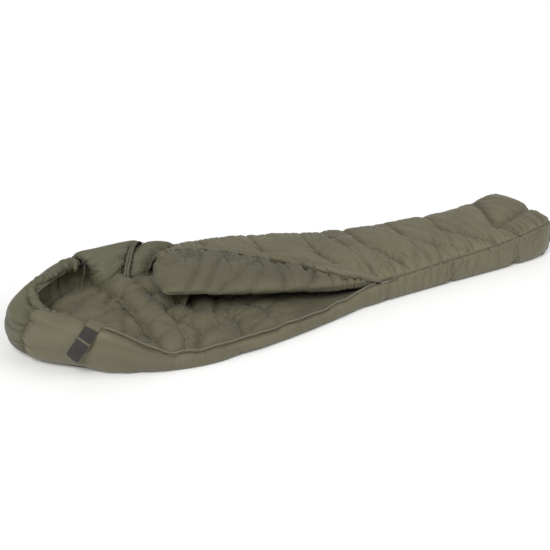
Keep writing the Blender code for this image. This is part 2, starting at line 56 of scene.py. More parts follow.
# The plan of the bag, as in part.py: (x, distance from the middle line).
HOOD_AND_TORSO = (
    (-1.15, 0.0), (-1.135, 0.07), (-1.09, 0.14), (-1.0, 0.225), (-0.85, 0.325), (-0.65, 0.385),
    (-0.45, 0.395), (-0.1, 0.345),
)
NEAR_PLAN = HOOD_AND_TORSO + ((0.2, 0.272), (0.5, 0.243), (0.9, 0.222), (1.08, 0.205), (1.143, 0.165))
FAR_PLAN = HOOD_AND_TORSO + ((0.2, 0.262), (0.5, 0.216), (0.85, 0.188), (1.08, 0.19), (1.143, 0.155))
NEAR_SEAM = ((-0.6, 0.1), (0.25, 0.1), (0.55, 0.109), (0.8, 0.122), (0.95, 0.142), (1.14, 0.168))
FAR_SEAM = ((-0.6, 0.104), (0.0, 0.098), (0.3, 0.085), (0.6, 0.075), (0.85, 0.088), (1.0, 0.12),
            (1.14, 0.145))
CROWN = ((-0.6, 0.14), (0.0, 0.13), (0.14, 0.127), (0.28, 0.13), (0.5, 0.143), (0.75, 0.146),
         (0.87, 0.15), (0.95, 0.156), (1.03, 0.168), (1.08, 0.168), (1.14, 0.158))
ZIP_LINE = (
    (-1.15, 0.185), (-0.97, 0.186), (-0.93, 0.178), (-0.86, 0.166), (-0.79, 0.128), (-0.73, 0.09),
    (-0.66, 0.06),
    (-0.57, 0.052), (-0.1, 0.053), (0.1, 0.064), (0.25, 0.094),
)
FOLD_POINT = np.array((0.25, -0.25, 0.105))
FOLD_ALONG = np.array((-0.973, 0.2308, 0.04)) / np.linalg.norm((-0.973, 0.2308, 0.04))
FOLD_FAR = np.array((0.2308, 0.973, 0.0)) / np.linalg.norm((0.2308, 0.973, 0.0))
FOLD_UP = np.cross(FOLD_FAR, FOLD_ALONG)
# the flap's zip edge: (distance along the fold from the slider, distance across it)
FLAP_EDGE = ((0.0, -0.012), (0.1, -0.008), (0.16, 0.008), (0.22, 0.04), (0.285, 0.095), (0.35, 0.145),
             (0.45, 0.205),
             (0.55, 0.262), (0.64, 0.3), (0.74, 0.312), (0.8, 0.3))
FLAP_LENGTH = 0.78

OPEN_END_X = 0.25  # the open stretch of the zip ends here, and the fold starts
SLIDER_X = 0.262
ZIP_END_X = 0.79
FOOT_SEAM_X = 1.118  # the last seam, where the foot box's end panel starts
LOW_INSET = 0.045  # how far in from the outline the side panels meet the floor
FLOOR_GAP = 0.0006  # the lowest that fabric lies


# ---- curves, noise and cloth ----

def ramp(value, width):
    """Rises from 0 to 1 while the value goes from 0 to the width."""
    return np.clip(value / width, 0, 1)


def fading(distance, width):
    """1 at no distance, dying away over about the width."""
    return np.exp(-distance / width)


def unit(vectors):
    return vectors / np.linalg.norm(vectors, axis=-1, keepdims=True)


def spline(points, per_span=12):
    """Points along a smooth curve that passes through every given point."""
    given = np.array(points, float)
    given = np.vstack([2 * given[0] - given[1], given, 2 * given[-1] - given[-2]])
    t = (np.arange(per_span) / per_span)[:, None]
    made = [0.5 * (2 * b + (c - a) * t + (2 * a - 5 * b + 4 * c - d) * t ** 2
                   + (3 * b - a - 3 * c + d) * t ** 3)
            for a, b, c, d in zip(given, given[1:], given[2:], given[3:])]
    return np.vstack([*made, given[-2:-1]])


def along_curve(points, count):
    """Evenly spaced points along a smooth curve."""
    dense = spline(points, 16)
    run = np.concatenate([[0], np.cumsum(np.linalg.norm(np.diff(dense, axis=0), axis=1))])
    at = np.linspace(0, run[-1], count)
    return np.stack([np.interp(at, run, dense[:, axis]) for axis in range(dense.shape[1])], 1)


def profile(pairs, x):
    """A smooth height, or other value, read from (x, value) pairs."""
    dense = spline(pairs, 8)
    order = np.argsort(dense[:, 0], kind="stable")
    return np.interp(x, dense[order, 0], dense[order, 1])


class Edge:
    """One side of the plan: points and outward directions by the length run from the hood's tip."""

    def __init__(self, plan, side):
        dense = spline(((plan[1][0], -plan[1][1]), *plan))[12:]
        self.side, self.x, self.y = side, dense[:, 0], dense[:, 1]
        self.run = np.concatenate([[0.0], np.cumsum(np.hypot(np.diff(self.x), np.diff(self.y)))])
        self.out_x, self.out_y = -np.gradient(self.y, self.run), np.gradient(self.x, self.run)

    def at(self, run, inset):
        """x and y of the line that runs inset inside the edge."""
        x, y, a, b = (np.interp(run, self.run, way) for way in (self.x, self.y, self.out_x, self.out_y))
        return x - a * inset, self.side * (y - b * inset)

    def y_at(self, x, inset=0.0):
        """y of the line that runs inset inside the edge, where it passes x."""
        x, inset = np.broadcast_arrays(np.asarray(x, float), inset)
        from_x = x
        for _ in range(12):
            from_x = 0.5 * from_x + 0.5 * (x + np.interp(from_x, self.x, self.out_x) * inset)
        return self.side * (np.interp(from_x, self.x, self.y) - np.interp(from_x, self.x,
                                                                          self.out_y) * inset)

    def run_at(self, x):
        """Length run from the hood's tip to the point of the edge at x."""
        return np.interp(x, self.x, self.run)


NEAR, FAR = Edge(NEAR_PLAN, -1.0), Edge(FAR_PLAN, 1.0)


def rim(run, inset, z):
    """Points on the plan's rim: runs on the near side are negative."""
    run, inset, z = np.broadcast_arrays(run, inset, z)
    nx, ny = NEAR.at(np.maximum(-run, 0), inset)
    fx, fy = FAR.at(np.maximum(run, 0), inset)
    return np.stack([np.where(run < 0, nx, fx), np.where(run < 0, ny, fy), z], -1)


def noise(u, v, seed):
    """Smooth noise from -1 to 1 with cells one unit wide."""
    table = np.random.RandomState(seed).uniform(-1, 1, (97, 89))
    u, v = np.broadcast_arrays(np.asarray(u, float) + 500, np.asarray(v, float) + 500)
    i, j = np.floor(u).astype(int), np.floor(v).astype(int)
    f, g = u - i, v - j
    f, g = f * f * f * (f * (f * 6 - 15) + 10), g * g * g * (g * (g * 6 - 15) + 10)

    def corner(a, b):
        return table[(i + a) % 97, (j + b) % 89]

    return ((corner(0, 0) * (1 - f) + corner(1, 0) * f) * (1 - g)
            + (corner(0, 1) * (1 - f) + corner(1, 1) * f) * g)


def normals(p):
    """Unit normals of a grid of points."""
    n = np.cross(np.gradient(p, axis=0), np.gradient(p, axis=1))
    return n / np.maximum(np.linalg.norm(n, axis=-1, keepdims=True), 1e-9)


def facing(p, i, j, way):
    """Normals of a grid, all turned so that the one at (i, j) points a given way."""
    n = normals(p)
    return n * np.sign(n[i, j] @ np.asarray(way))


def seam_distance(u, v, lines):
    """Distance from each (u, v) to the nearest of some polylines."""
    best = np.full(np.shape(u), 9.0)
    for line in lines:
        dense = spline(line, 6)
        for (au, av), (bu, bv) in zip(dense, dense[1:]):
            du, dv = bu - au, bv - av
            t = np.clip(((u - au) * du + (v - av) * dv) / max(du * du + dv * dv, 1e-9), 0, 1)
            best = np.minimum(best, np.hypot(u - au - t * du, v - av - t * dv))
    return best


def pull(p, free, a, b, rest):
    """Moves the ends of each link towards its rest length."""
    gap = p[b] - p[a]
    length = np.maximum(np.linalg.norm(gap, axis=-1, keepdims=True), 1e-9)
    wa, wb = free[a], free[b]
    move = gap * ((1 - rest / length) / np.maximum(wa + wb, 1e-6))
    p[a] += move * wa
    p[b] -= move * wb


def cloth(base, start, hold, slack_u, slack_v, low, high, push=0.0, bend=0.02, steps=40):
    """A sheet of fabric that is larger than its base shape and held at its seams: it buckles into folds.

    hold is 1 where the sheet is sewn down; low and high bound how far it sinks into or lifts off its base.
    """
    p, n = start.copy(), normals(base)
    free = np.clip(1.0 - hold, 0, 1)[..., None]
    ones = np.ones(base.shape[:2])
    links = []
    for du, dv in ((1, 0), (0, 1), (1, 1), (1, -1)):
        first = (slice(0, base.shape[0] - du), slice(max(0, -dv), base.shape[1] - max(0, dv)))
        second = (slice(du, base.shape[0]), slice(max(0, dv), base.shape[1] - max(0, -dv)))
        grow_u, grow_v = (slack_u * ones)[first], (slack_v * ones)[first]
        grow = grow_u if dv == 0 else grow_v if du == 0 else (grow_u + grow_v) / 2
        rest = np.linalg.norm(base[second] - base[first], axis=-1) * (1 + grow)
        # every second row or column at a time, so that no point is in two links at once
        for parity in (0, 1):
            every, whole = slice(parity, None, 2), slice(0, None)
            cut = (every, whole) if du else (whole, every)
            a, b = (tuple(slice(s.start + c.start, s.stop, c.step) for s, c in zip(ends, cut))
                    for ends in (first, second))
            links.append((a, b, rest[cut][..., None]))
    for _ in range(steps):
        if push:
            p += normals(p) * (push * free)
        for a, b, rest in links:
            pull(p, free, a, b, rest)
        middle = p[1:-1, 1:-1]
        mean = (p[2:, 1:-1] + p[:-2, 1:-1] + p[1:-1, 2:] + p[1:-1, :-2]) / 4
        p[1:-1, 1:-1] = middle + (mean - middle) * bend * free[1:-1, 1:-1]
        lift = ((p - base) * n).sum(-1)
        p += n * ((np.clip(lift, low, high) - lift)[..., None] * free)
    return p


# ---- meshes ----

def placed(name, data):
    """A new object in the scene."""
    made = bpy.data.objects.new(name, data)
    bpy.context.scene.collection.objects.link(made)
    return made


def sheet_mesh(name, p, look, body=None, ridge=None, wrap=False):
    """A mesh over a grid of points, with its UV map in metres. wrap joins the second direction's ends.

    ridge is high where the fabric stands proud; the material paints shade from it, darker in the valleys and
    paler on the ridges.
    """
    nu, nv = p.shape[:2]
    cols = nv if wrap else nv - 1
    i, j = np.meshgrid(np.arange(nu - 1), np.arange(cols), indexing="ij")
    k = (j + 1) % nv
    quads = np.stack([i * nv + j, (i + 1) * nv + j, (i + 1) * nv + k, i * nv + k], -1).reshape(-1, 4)
    mesh = bpy.data.meshes.new(name)
    mesh.vertices.add(nu * nv)
    mesh.vertices.foreach_set("co", p.reshape(-1).astype(np.float32))
    mesh.loops.add(len(quads) * 4)
    mesh.loops.foreach_set("vertex_index", quads.reshape(-1).astype(np.int32))
    mesh.polygons.add(len(quads))
    mesh.polygons.foreach_set("loop_start", np.arange(0, len(quads) * 4, 4, dtype=np.int32))
    mesh.update(calc_edges=True)
    mesh.validate()
    u = np.concatenate([np.zeros((1, nv)), np.cumsum(np.linalg.norm(np.diff(p, axis=0), axis=-1), 0)])
    v = np.concatenate([np.zeros((nu, 1)), np.cumsum(np.linalg.norm(np.diff(p, axis=1), axis=-1), 1)], 1)
    u, v = np.repeat(u.mean(1, keepdims=True), nv, 1), np.repeat(v.mean(0, keepdims=True), nu, 0)
    uv = np.stack([u, v], -1).reshape(-1, 2)
    corners = uv[quads.reshape(-1)]
    if wrap:
        fold = (quads.reshape(-1) % nv == 0) & (np.repeat(j.reshape(-1), 4) == nv - 1)
        corners[fold, 1] = v[0, -1] + np.linalg.norm(p[0, -1] - p[0, 0])
    layer = mesh.uv_layers.new(name="UVMap")
    layer.data.foreach_set("uv", corners.reshape(-1).astype(np.float32))
    # ridge drives the painted shade in the material; 0.35 leaves the dye nearly as it is
    ridge = np.full((nu, nv), 0.35) if ridge is None else ridge
    mark = mesh.attributes.new("ridge", "FLOAT", "POINT")
    mark.data.foreach_set("value", ridge.reshape(-1).astype(np.float32))
    mesh.shade_smooth()
    mesh.materials.append(look)
    made = placed(name, mesh)
    if body:
        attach(made, body)
    return made


def tube_grid(route, radius, sides, squash=1.0):
    """Rings round a route, lying level: radius may differ along it."""
    route = np.asarray(route, float)
    ahead = unit(np.gradient(route, axis=0))
    across = unit(np.cross(ahead, UP))
    up = np.cross(across, ahead)
    angle = np.arange(sides) * math.tau / sides
    radius = np.broadcast_to(radius, (len(route),))[:, None, None]
    return (route[:, None] + across[:, None] * (np.cos(angle)[None, :, None] * radius)
            + up[:, None] * (np.sin(angle)[None, :, None] * radius * squash))


def declare(piece, cads=()):
    """Hides the CAD nodes that a piece stands for; the piece itself is not used."""
    if cads:
        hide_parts(*cads)


# ---- materials ----

def node(tree, kind, **values):
    """A new shader node: each value is set on the node, or set on or linked to its input of that name."""
    made = tree.nodes.new(kind)
    for key, value in values.items():
        if hasattr(made, key):
            setattr(made, key, value)
        elif isinstance(value, bpy.types.NodeSocket):
            tree.links.new(value, made.inputs[key.replace("_", " ")])
        else:
            made.inputs[key.replace("_", " ")].default_value = value
    return made


def new_look(name):
    """A new material: itself, its node tree and its shader."""
    made = bpy.data.materials.new(name)
    made.use_nodes = True
    return made, made.node_tree, made.node_tree.nodes["Principled BSDF"]


def cloth_look(name, colour, rough=0.6, sheen=0.2, thread=0.0011, crinkle=0.0012, crinkle_size=0.02,
               spread=0.12):
    """Woven fabric: two thread directions, fine crinkles, uneven dye, and painted shade: darker in the
    valleys, paler on the ridges.
    """
    made, tree, shader = new_look(name)
    shader.inputs["Sheen Weight"].default_value = sheen
    shader.inputs["Sheen Roughness"].default_value = 0.45
    shader.inputs["Specular IOR Level"].default_value = 0.3
    place = node(tree, "ShaderNodeTexCoord").outputs
    dye = node(tree, "ShaderNodeTexNoise", Scale=3.5, Detail=4.0, Roughness=0.6,
               Vector=place["Object"]).outputs["Fac"]
    shades = node(tree, "ShaderNodeValToRGB", Fac=dye)
    low, high = shades.color_ramp.elements
    low.position, high.position = 0.3, 0.7
    low.color = (*(c * (1 - spread) for c in colour), 1)
    high.color = (*(c * (1 + spread) for c in colour), 1)
    # painted shade: the dye darkens where the fabric sinks into valleys and folds, and turns paler where it
    # stands proud
    ridge = node(tree, "ShaderNodeAttribute", attribute_name="ridge")
    ridge_shading = node(tree, "ShaderNodeValToRGB", Fac=ridge.outputs["Fac"])
    ridge_shading.color_ramp.elements[0].color = (0.8, 0.79, 0.77, 1)
    ridge_shading.color_ramp.elements[1].color = (1.14, 1.14, 1.13, 1)
    ridge_shading.color_ramp.elements.new(0.3).color = (0.97, 0.97, 0.97, 1)
    shaded_dye = node(tree, "ShaderNodeMix", data_type="RGBA", blend_type="MULTIPLY", Factor=1.0,
                A=shades.outputs["Color"], B=ridge_shading.outputs["Color"])
    sleek = node(tree, "ShaderNodeMapRange", From_Min=0.3, From_Max=0.7, To_Min=rough - 0.06,
                 To_Max=rough + 0.08,
                 Value=dye)
    woven = node(tree, "ShaderNodeMath", operation="MULTIPLY")
    for k, way in enumerate("XY"):
        threads = node(tree, "ShaderNodeTexWave", wave_type="BANDS", bands_direction=way,
                       Scale=math.tau / (20 * thread), Distortion=0.4, Vector=place["UV"])
        tree.links.new(threads.outputs["Fac"], woven.inputs[k])
    fine = node(tree, "ShaderNodeBump", Strength=0.35, Distance=thread * 0.3, Height=woven.outputs["Value"])
    crease = node(tree, "ShaderNodeTexNoise", Scale=1 / crinkle_size, Detail=5.0, Roughness=0.55,
                  Distortion=0.6,
                  Vector=place["Object"])
    broad = node(tree, "ShaderNodeBump", Strength=0.6, Distance=crinkle, Height=crease.outputs["Fac"],
                 Normal=fine.outputs["Normal"])
    tree.links.new(shaded_dye.outputs["Result"], shader.inputs["Base Color"])
    tree.links.new(sleek.outputs["Result"], shader.inputs["Roughness"])
    tree.links.new(broad.outputs["Normal"], shader.inputs["Normal"])
    return made


def hard_look(name, colour, rough, metallic=0.0, grain=0.0004):
    """Plastic or metal with a fine grain."""
    made, tree, shader = new_look(name)
    shader.inputs["Metallic"].default_value = metallic
    where = node(tree, "ShaderNodeTexCoord").outputs["Object"]
    speckle = node(tree, "ShaderNodeTexNoise", Scale=600.0, Detail=3.0, Vector=where).outputs["Fac"]
    shades = node(tree, "ShaderNodeValToRGB", Fac=speckle)
    low, high = shades.color_ramp.elements
    low.color = (*(c * 0.85 for c in colour), 1)
    high.color = (*(min(1, c * 1.15) for c in colour), 1)
    rub = node(tree, "ShaderNodeMapRange", To_Min=rough - 0.08, To_Max=rough + 0.12, Value=speckle)
    bump = node(tree, "ShaderNodeBump", Strength=0.3, Distance=grain, Height=speckle)
    tree.links.new(shades.outputs["Color"], shader.inputs["Base Color"])
    tree.links.new(rub.outputs["Result"], shader.inputs["Roughness"])
    tree.links.new(bump.outputs["Normal"], shader.inputs["Normal"])
    return made


SHELL = cloth_look("shell_weave", (0.119, 0.109, 0.066), rough=0.5, sheen=0.1)
HOOD_SHELL = cloth_look("hood_weave", (0.108, 0.102, 0.062), rough=0.56, sheen=0.08)
LINING = cloth_look("lining_weave", (0.1, 0.092, 0.056), rough=0.68, sheen=0.1, crinkle=0.001)
TAPE = cloth_look("tape_weave", (0.16, 0.148, 0.1), rough=0.75, sheen=0.1, thread=0.0007, crinkle=0.0003)
PILE = cloth_look("pile", (0.036, 0.034, 0.03), rough=0.95, sheen=0.3, thread=0.0016, crinkle=0.0008,
                  crinkle_size=0.003, spread=0.3)
BRAID = cloth_look("braid", (0.12, 0.105, 0.07), rough=0.8, sheen=0.1, thread=0.0006, crinkle=0.0003)
PLASTIC = hard_look("lock_moulding", (0.025, 0.024, 0.022), 0.42)
METAL = hard_look("slider_metal", (0.2, 0.19, 0.165), 0.4, 0.8)
NYLON = hard_look("coil_nylon", (0.15, 0.138, 0.095), 0.5)
STEEL = hard_look("spring_wire", (0.6, 0.6, 0.6), 0.3, 1.0)


# ---- stage ----

IMAGE_SIDE = 550
PIXELS_PER_METRE = 250
SENSOR = 36
CAMERA_AWAY = 4.3
CAMERA_TURN, CAMERA_RISE = math.radians(25), math.radians(27.5)
CAMERA_TARGET = Vector((-0.075, 0.0, 0.08))
FLOOR_HALF = 30


def make_stage():
    """Camera, white floor and three soft lights."""
    level = math.cos(CAMERA_RISE)
    look = Vector((math.sin(CAMERA_TURN) * level, math.cos(CAMERA_TURN) * level, -math.sin(CAMERA_RISE)))
    camera = placed("camera", bpy.data.cameras.new("camera"))
    camera.data.lens = PIXELS_PER_METRE * CAMERA_AWAY * SENSOR / IMAGE_SIDE
    camera.data.sensor_width = SENSOR
    camera.location = CAMERA_TARGET - look * CAMERA_AWAY
    camera.rotation_euler = look.to_track_quat("-Z", "Y").to_euler()
    bpy.context.scene.camera = camera

    floor_mesh = bpy.data.meshes.new("floor")
    corners = [(x * FLOOR_HALF, y * FLOOR_HALF, 0) for x, y in ((-1, -1), (1, -1), (1, 1), (-1, 1))]
    floor_mesh.from_pydata(corners, [], [(0, 1, 2, 3)])
    floor = placed("floor", floor_mesh)
    floor.location.z = -0.0005
    white, _, shader = new_look("floor_white")
    shader.inputs["Base Color"].default_value = (0.93, 0.93, 0.925, 1)
    shader.inputs["Roughness"].default_value = 0.9
    floor_mesh.materials.append(white)

    def soft_sun(name, towards, strength, spread):
        lamp = bpy.data.lights.new(name, "SUN")
        lamp.energy, lamp.angle = strength, math.radians(spread)
        placed(name, lamp).rotation_euler = Vector(towards).to_track_quat("Z", "Y").to_euler()

    soft_sun("key", (-0.6, -0.7, 1.0), 2.3, 30)
    soft_sun("side", (1.0, -0.55, 0.75), 0.75, 35)
    soft_sun("overhead", (0.1, 0.5, 1.0), 0.2, 60)
    world = bpy.data.worlds.new("studio")
    world.use_nodes = True
    world.node_tree.nodes["Background"].inputs["Color"].default_value = (1.0, 1.0, 1.0, 1)
    world.node_tree.nodes["Background"].inputs["Strength"].default_value = 0.4
    bpy.context.scene.world = world
    bpy.context.scene.view_settings.view_transform = "Standard"


make_stage()


# ---- cords ----

TAIL_RADIUS = 0.0015


def make_tail(name, cad, lock, side, tail):
    """A short free end of drawcord that hangs out of its lock and ends in a knot.

    tail holds (towards the middle line, towards the head, up) from the lock's base.
    """
    low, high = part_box(lock)
    base = np.array(((low[0] + high[0]) / 2, (low[1] + high[1]) / 2, low[2]))
    turned = [base + np.array((-head, -side * middle, up)) for middle, head, up in tail]
    route = along_curve(turned, 40)
    piece = sheet_mesh(name, tube_grid(route, TAIL_RADIUS, 10), BRAID, "bag", wrap=True)
    declare(piece, cads=(cad,))
    knot_turns = np.linspace(0, math.tau * 0.9, 16)
    knot_route = route[-1] + np.stack([0.0028 * np.cos(knot_turns), 0.0022 * np.sin(2 * knot_turns),
                                       0.0028 * np.sin(knot_turns) + 0.0012], 1)
    knot_route[:, 2] = np.maximum(knot_route[:, 2], turned[-1][2])
    knot = sheet_mesh(name + "_knot", tube_grid(knot_route, 0.0016, 8), BRAID, "bag", wrap=True)
    declare(knot)


make_tail("hood_tail", "hood_cord_tail", "hood_cord_lock_body", 1.0,
          ((0.0115, 0.0, 0.008), (0.02, 0.002, 0.004), (0.024, 0.008, -0.02), (0.021, 0.018, -0.05),
           (0.024, 0.024, -0.08)))
make_tail("collar_tail", "collar_cord_tail", "collar_cord_lock_body", -1.0,
          ((0.0, 0.0115, 0.008), (0.0, 0.024, 0.002), (0.012, 0.04, -0.0015), (0.04, 0.044, -0.0015),
           (0.07, 0.03, -0.0015)))


# ---- quilted shell ----

TOP_SEAMS = (
    ((0.35, 0.245), (0.326, 0.02), (0.36, -0.1), (0.4, -0.235)),
    ((0.53, 0.21), (0.51, -0.03), (0.565, -0.11), (0.69, -0.225)),
    ((0.71, 0.19), (0.686, -0.02), (0.735, -0.1), (0.83, -0.22)),
    ((-0.058, 0.34), (-0.066, 0.18), (-0.1, 0.02)),
    ((0.154, 0.27), (0.127, 0.056), (0.14, -0.1)),
    ((0.25, 0.26), (0.254, 0.097), (0.27, 0.02)),
    ((-0.26, 0.37), (-0.27, 0.2)),
    ((0.905, -0.105), (0.93, -0.16), (0.945, -0.22)),
)
FOOT_SEAMS = (((0.995, 0.2), (0.965, 0.12), (0.93, 0.0), (0.902, -0.1)),
              ((0.902, -0.1), (1.0, -0.085), (FOOT_SEAM_X, -0.04)))


def fold_y(x):
    """y of the fold line where it passes x."""
    return FOLD_POINT[1] + (x - FOLD_POINT[0]) * FOLD_ALONG[1] / FOLD_ALONG[0]


def creases(u, v, seed):
    """Rounded hills between narrow valleys, from 0 in a valley to about 1 on a hill."""
    return np.clip(np.abs(noise(u + 0.35 * noise(u * 0.7, v * 0.7, seed + 500), v, seed)) * 1.7, 0,
                   1) ** 0.8


def run_of(points, axis):
    """Length run along one direction of a grid of points."""
    step = np.linalg.norm(np.diff(points, axis=axis), axis=-1)
    return np.concatenate([np.zeros_like(step.take([0], axis)), np.cumsum(step, axis)], axis)


def dome(x, y):
    """Height of the top panel's smooth outer surface."""
    q = np.where(y > 0, y / FAR.y_at(x), y / NEAR.y_at(x))
    seam = np.where(y > 0, profile(FAR_SEAM, x), profile(NEAR_SEAM, x))
    return seam + (profile(CROWN, x) - seam) * np.maximum(0, 1 - np.clip(np.abs(q), 0, 1) ** 2.4) ** 0.62


def sewn(shape):
    """Hold weights of a grid whose borders are sewn down."""
    hold = np.ones(shape)
    hold[1:-1, 1:-1] = 0
    return hold


def inland(arc, width):
    """0 on the two borders that arc runs between, 1 further in than the width."""
    return ramp(np.minimum(arc, arc[:, -1:] - arc), width)


def soft_piece(name, points, base, n, look, cads, body="bag", height=0.02, sunk=0.0):
    """A padded piece: its ridges stand over its base by about the height, sunk is how deep it is pressed."""
    # painted shade: ridge is low where the fabric sinks below its base, and the material darkens it there;
    # sunk keeps pressed parts out of it
    ridge = np.clip((((points - base) * n).sum(-1) + sunk) / height + 0.3, 0, 1)
    piece = sheet_mesh(name, points, look, body, ridge)
    declare(piece, cads)
    return piece


def lie_on_floor(points, height=FLOOR_GAP):
    points[..., 2] = np.maximum(points[..., 2], height)


def make_top_shell():
    """The quilted top panel, from its head edge to the foot box; returns its last row."""
    x = np.linspace(-0.5, FOOT_SEAM_X, 380)[:, None]
    near_q = np.where(x > OPEN_END_X, -1.0, -np.clip(fold_y(x) / NEAR.y_at(x), -1, 1))
    tau = np.arcsin(near_q) * 2 / math.pi
    t = np.linspace(0, 1, 128)[None, :]
    q = np.sin((tau + (1 - tau) * t) * math.pi / 2)
    y = np.where(q > 0, q * FAR.y_at(x), -q * NEAR.y_at(x))
    x = np.broadcast_to(x, y.shape)
    hem = 0.07 * ramp(-0.465 - x, 0.035) ** 1.6
    base = np.stack([x, y, dome(x, y) - hem], -1)
    n = normals(base)
    arc = run_of(base, 1)
    from_near = np.where(x > 0.24, arc, 0.3)
    from_far = arc[:, -1:] - arc
    foot_seams = seam_distance(x, y, FOOT_SEAMS)
    seams = np.minimum(seam_distance(x, y, TOP_SEAMS), foot_seams)
    near = np.minimum(seams, np.minimum(from_near, from_far))
    puff = ((0.011 - 0.006 * ramp(y, 0.15)) * (1 - fading(near, 0.026)) - 0.005
            - 0.006 * fading(seams, 0.005) - 0.012 * fading(foot_seams, 0.022))
    fans = creases(x / 0.024 + 2.6 * from_near * np.sin(x * 9), from_near / 0.2, 3) - 0.3
    fans = fans * fading(from_near, 0.08)
    far_fans = creases(x / 0.032, from_far / 0.15, 5) * fading(from_far, 0.06)
    seam_fans = (creases(x / 0.05 + y / 0.028, y / 0.026, 9) - 0.5) * fading(seams, 0.035)
    drag = creases((x + 0.35 * y) / 0.055, y / 0.3, 12)
    slider_fan = fading(np.hypot(x - 0.27, y + 0.235), 0.1)
    spokes = creases(np.arctan2(y + 0.262, x - 0.24) / 0.22, np.hypot(x - 0.24, y + 0.26) / 0.2, 15)
    lift = (puff + 0.017 * fans + 0.007 * far_fans + 0.009 * seam_fans + 0.006 * (drag - 0.4)
            + 0.004 * noise(x / 0.13, y / 0.08, 7) + 0.016 * slider_fan * (spokes - 0.4))
    # the folded flap presses the head end flat
    a = (x - FOLD_POINT[0]) * FOLD_ALONG[0] + (y - FOLD_POINT[1]) * FOLD_ALONG[1]
    c = (x - FOLD_POINT[0]) * FOLD_FAR[0] + (y - FOLD_POINT[1]) * FOLD_FAR[1]
    under_flap = profile(FLAP_EDGE, np.clip(a, 0, 0.79)) + 0.056 - c
    pressed = ramp(a, 0.06) * ramp(under_flap, 0.016)
    lift = lift * (1 - 0.6 * pressed) - 0.013 * pressed
    hold = np.maximum(np.maximum(sewn(y.shape), 0.9 * (seams < 0.0035)), 0.85 * pressed)
    start = base + n * (lift * ramp(np.minimum(from_near, from_far), 0.01))[..., None]
    slack_u = (0.04 + 0.3 * fading(from_near, 0.06) + 0.15 * fading(from_far, 0.05)
               + 0.12 * fading(seams, 0.03) + 0.12 * slider_fan)
    slack_v = 0.04 + 0.12 * slider_fan
    made = cloth(base, start, hold, slack_u, slack_v, low=-0.014, high=0.022, push=0.00008)
    soft_piece("top_panel_shell", made, base, n, SHELL,
               ("top_outer_shell", "top_insulation", "top_lining"), sunk=0.016 * pressed)
    return made[-1]


top_end = make_top_shell()


def side_section(t, top_inset, top_z, low_inset):
    """(inset, z) round a side panel, from its upper edge at t 0 to the floor at t 1."""
    angle = (0.5 - t) * math.pi
    middle = 0.45 * top_z
    up = np.sin(angle) > 0
    inset = np.where(up, top_inset, low_inset) * (1 - np.cos(angle))
    z = np.where(up, middle + (top_z - middle) * np.sin(angle), middle + (middle - 0.001) * np.sin(angle))
    return inset, z


def near_top(x):
    """(inset, z) of the near panel's upper edge: hood rim, open zip, then side seam."""
    closed = ramp(x - 0.2, 0.08)
    inset = profile(((-1.14, 0.1), (-1.05, 0.094), (-1.0, 0.08), (-0.96, 0.058), (-0.93, 0.042),
                     (-0.86, 0.036),
                     (-0.79, 0.036), (-0.7, 0.034), (-0.6, 0.028), (-0.4, 0.025), (0.0, 0.022),
                     (0.2, 0.014)), x)
    z = np.where(x > OPEN_END_X, profile(NEAR_SEAM, x), profile(ZIP_LINE, x))
    return inset * (1 - closed) + 0.004 * closed, z


def zip_wave(x, run, stop=0.22):
    """How the open zip's edge snakes up and down, dying out at stop."""
    return 0.005 * noise(run / 0.06, 0, 31) * ramp(stop - x, 0.1) * ramp(x + 0.75, 0.1)


HOOD_SEAM_RUN = 0.115
CROWN_SECTION = ((0.085, 0.001), (0.045, 0.01), (0.012, 0.045), (0.0, 0.095), (0.012, 0.145),
                 (0.038, 0.178), (0.066, 0.189),
                 (0.09, 0.183), (0.1, 0.171))
NEAR_SEAMS = ((0.275, 0.0), (0.325, 0.2)), ((0.6, 0.0), (0.62, 0.2)), ((0.93, 0.0),
                                                                       (0.95, 0.2)), ((-0.02, 0.0),
                                                                       (0.0, 0.2))


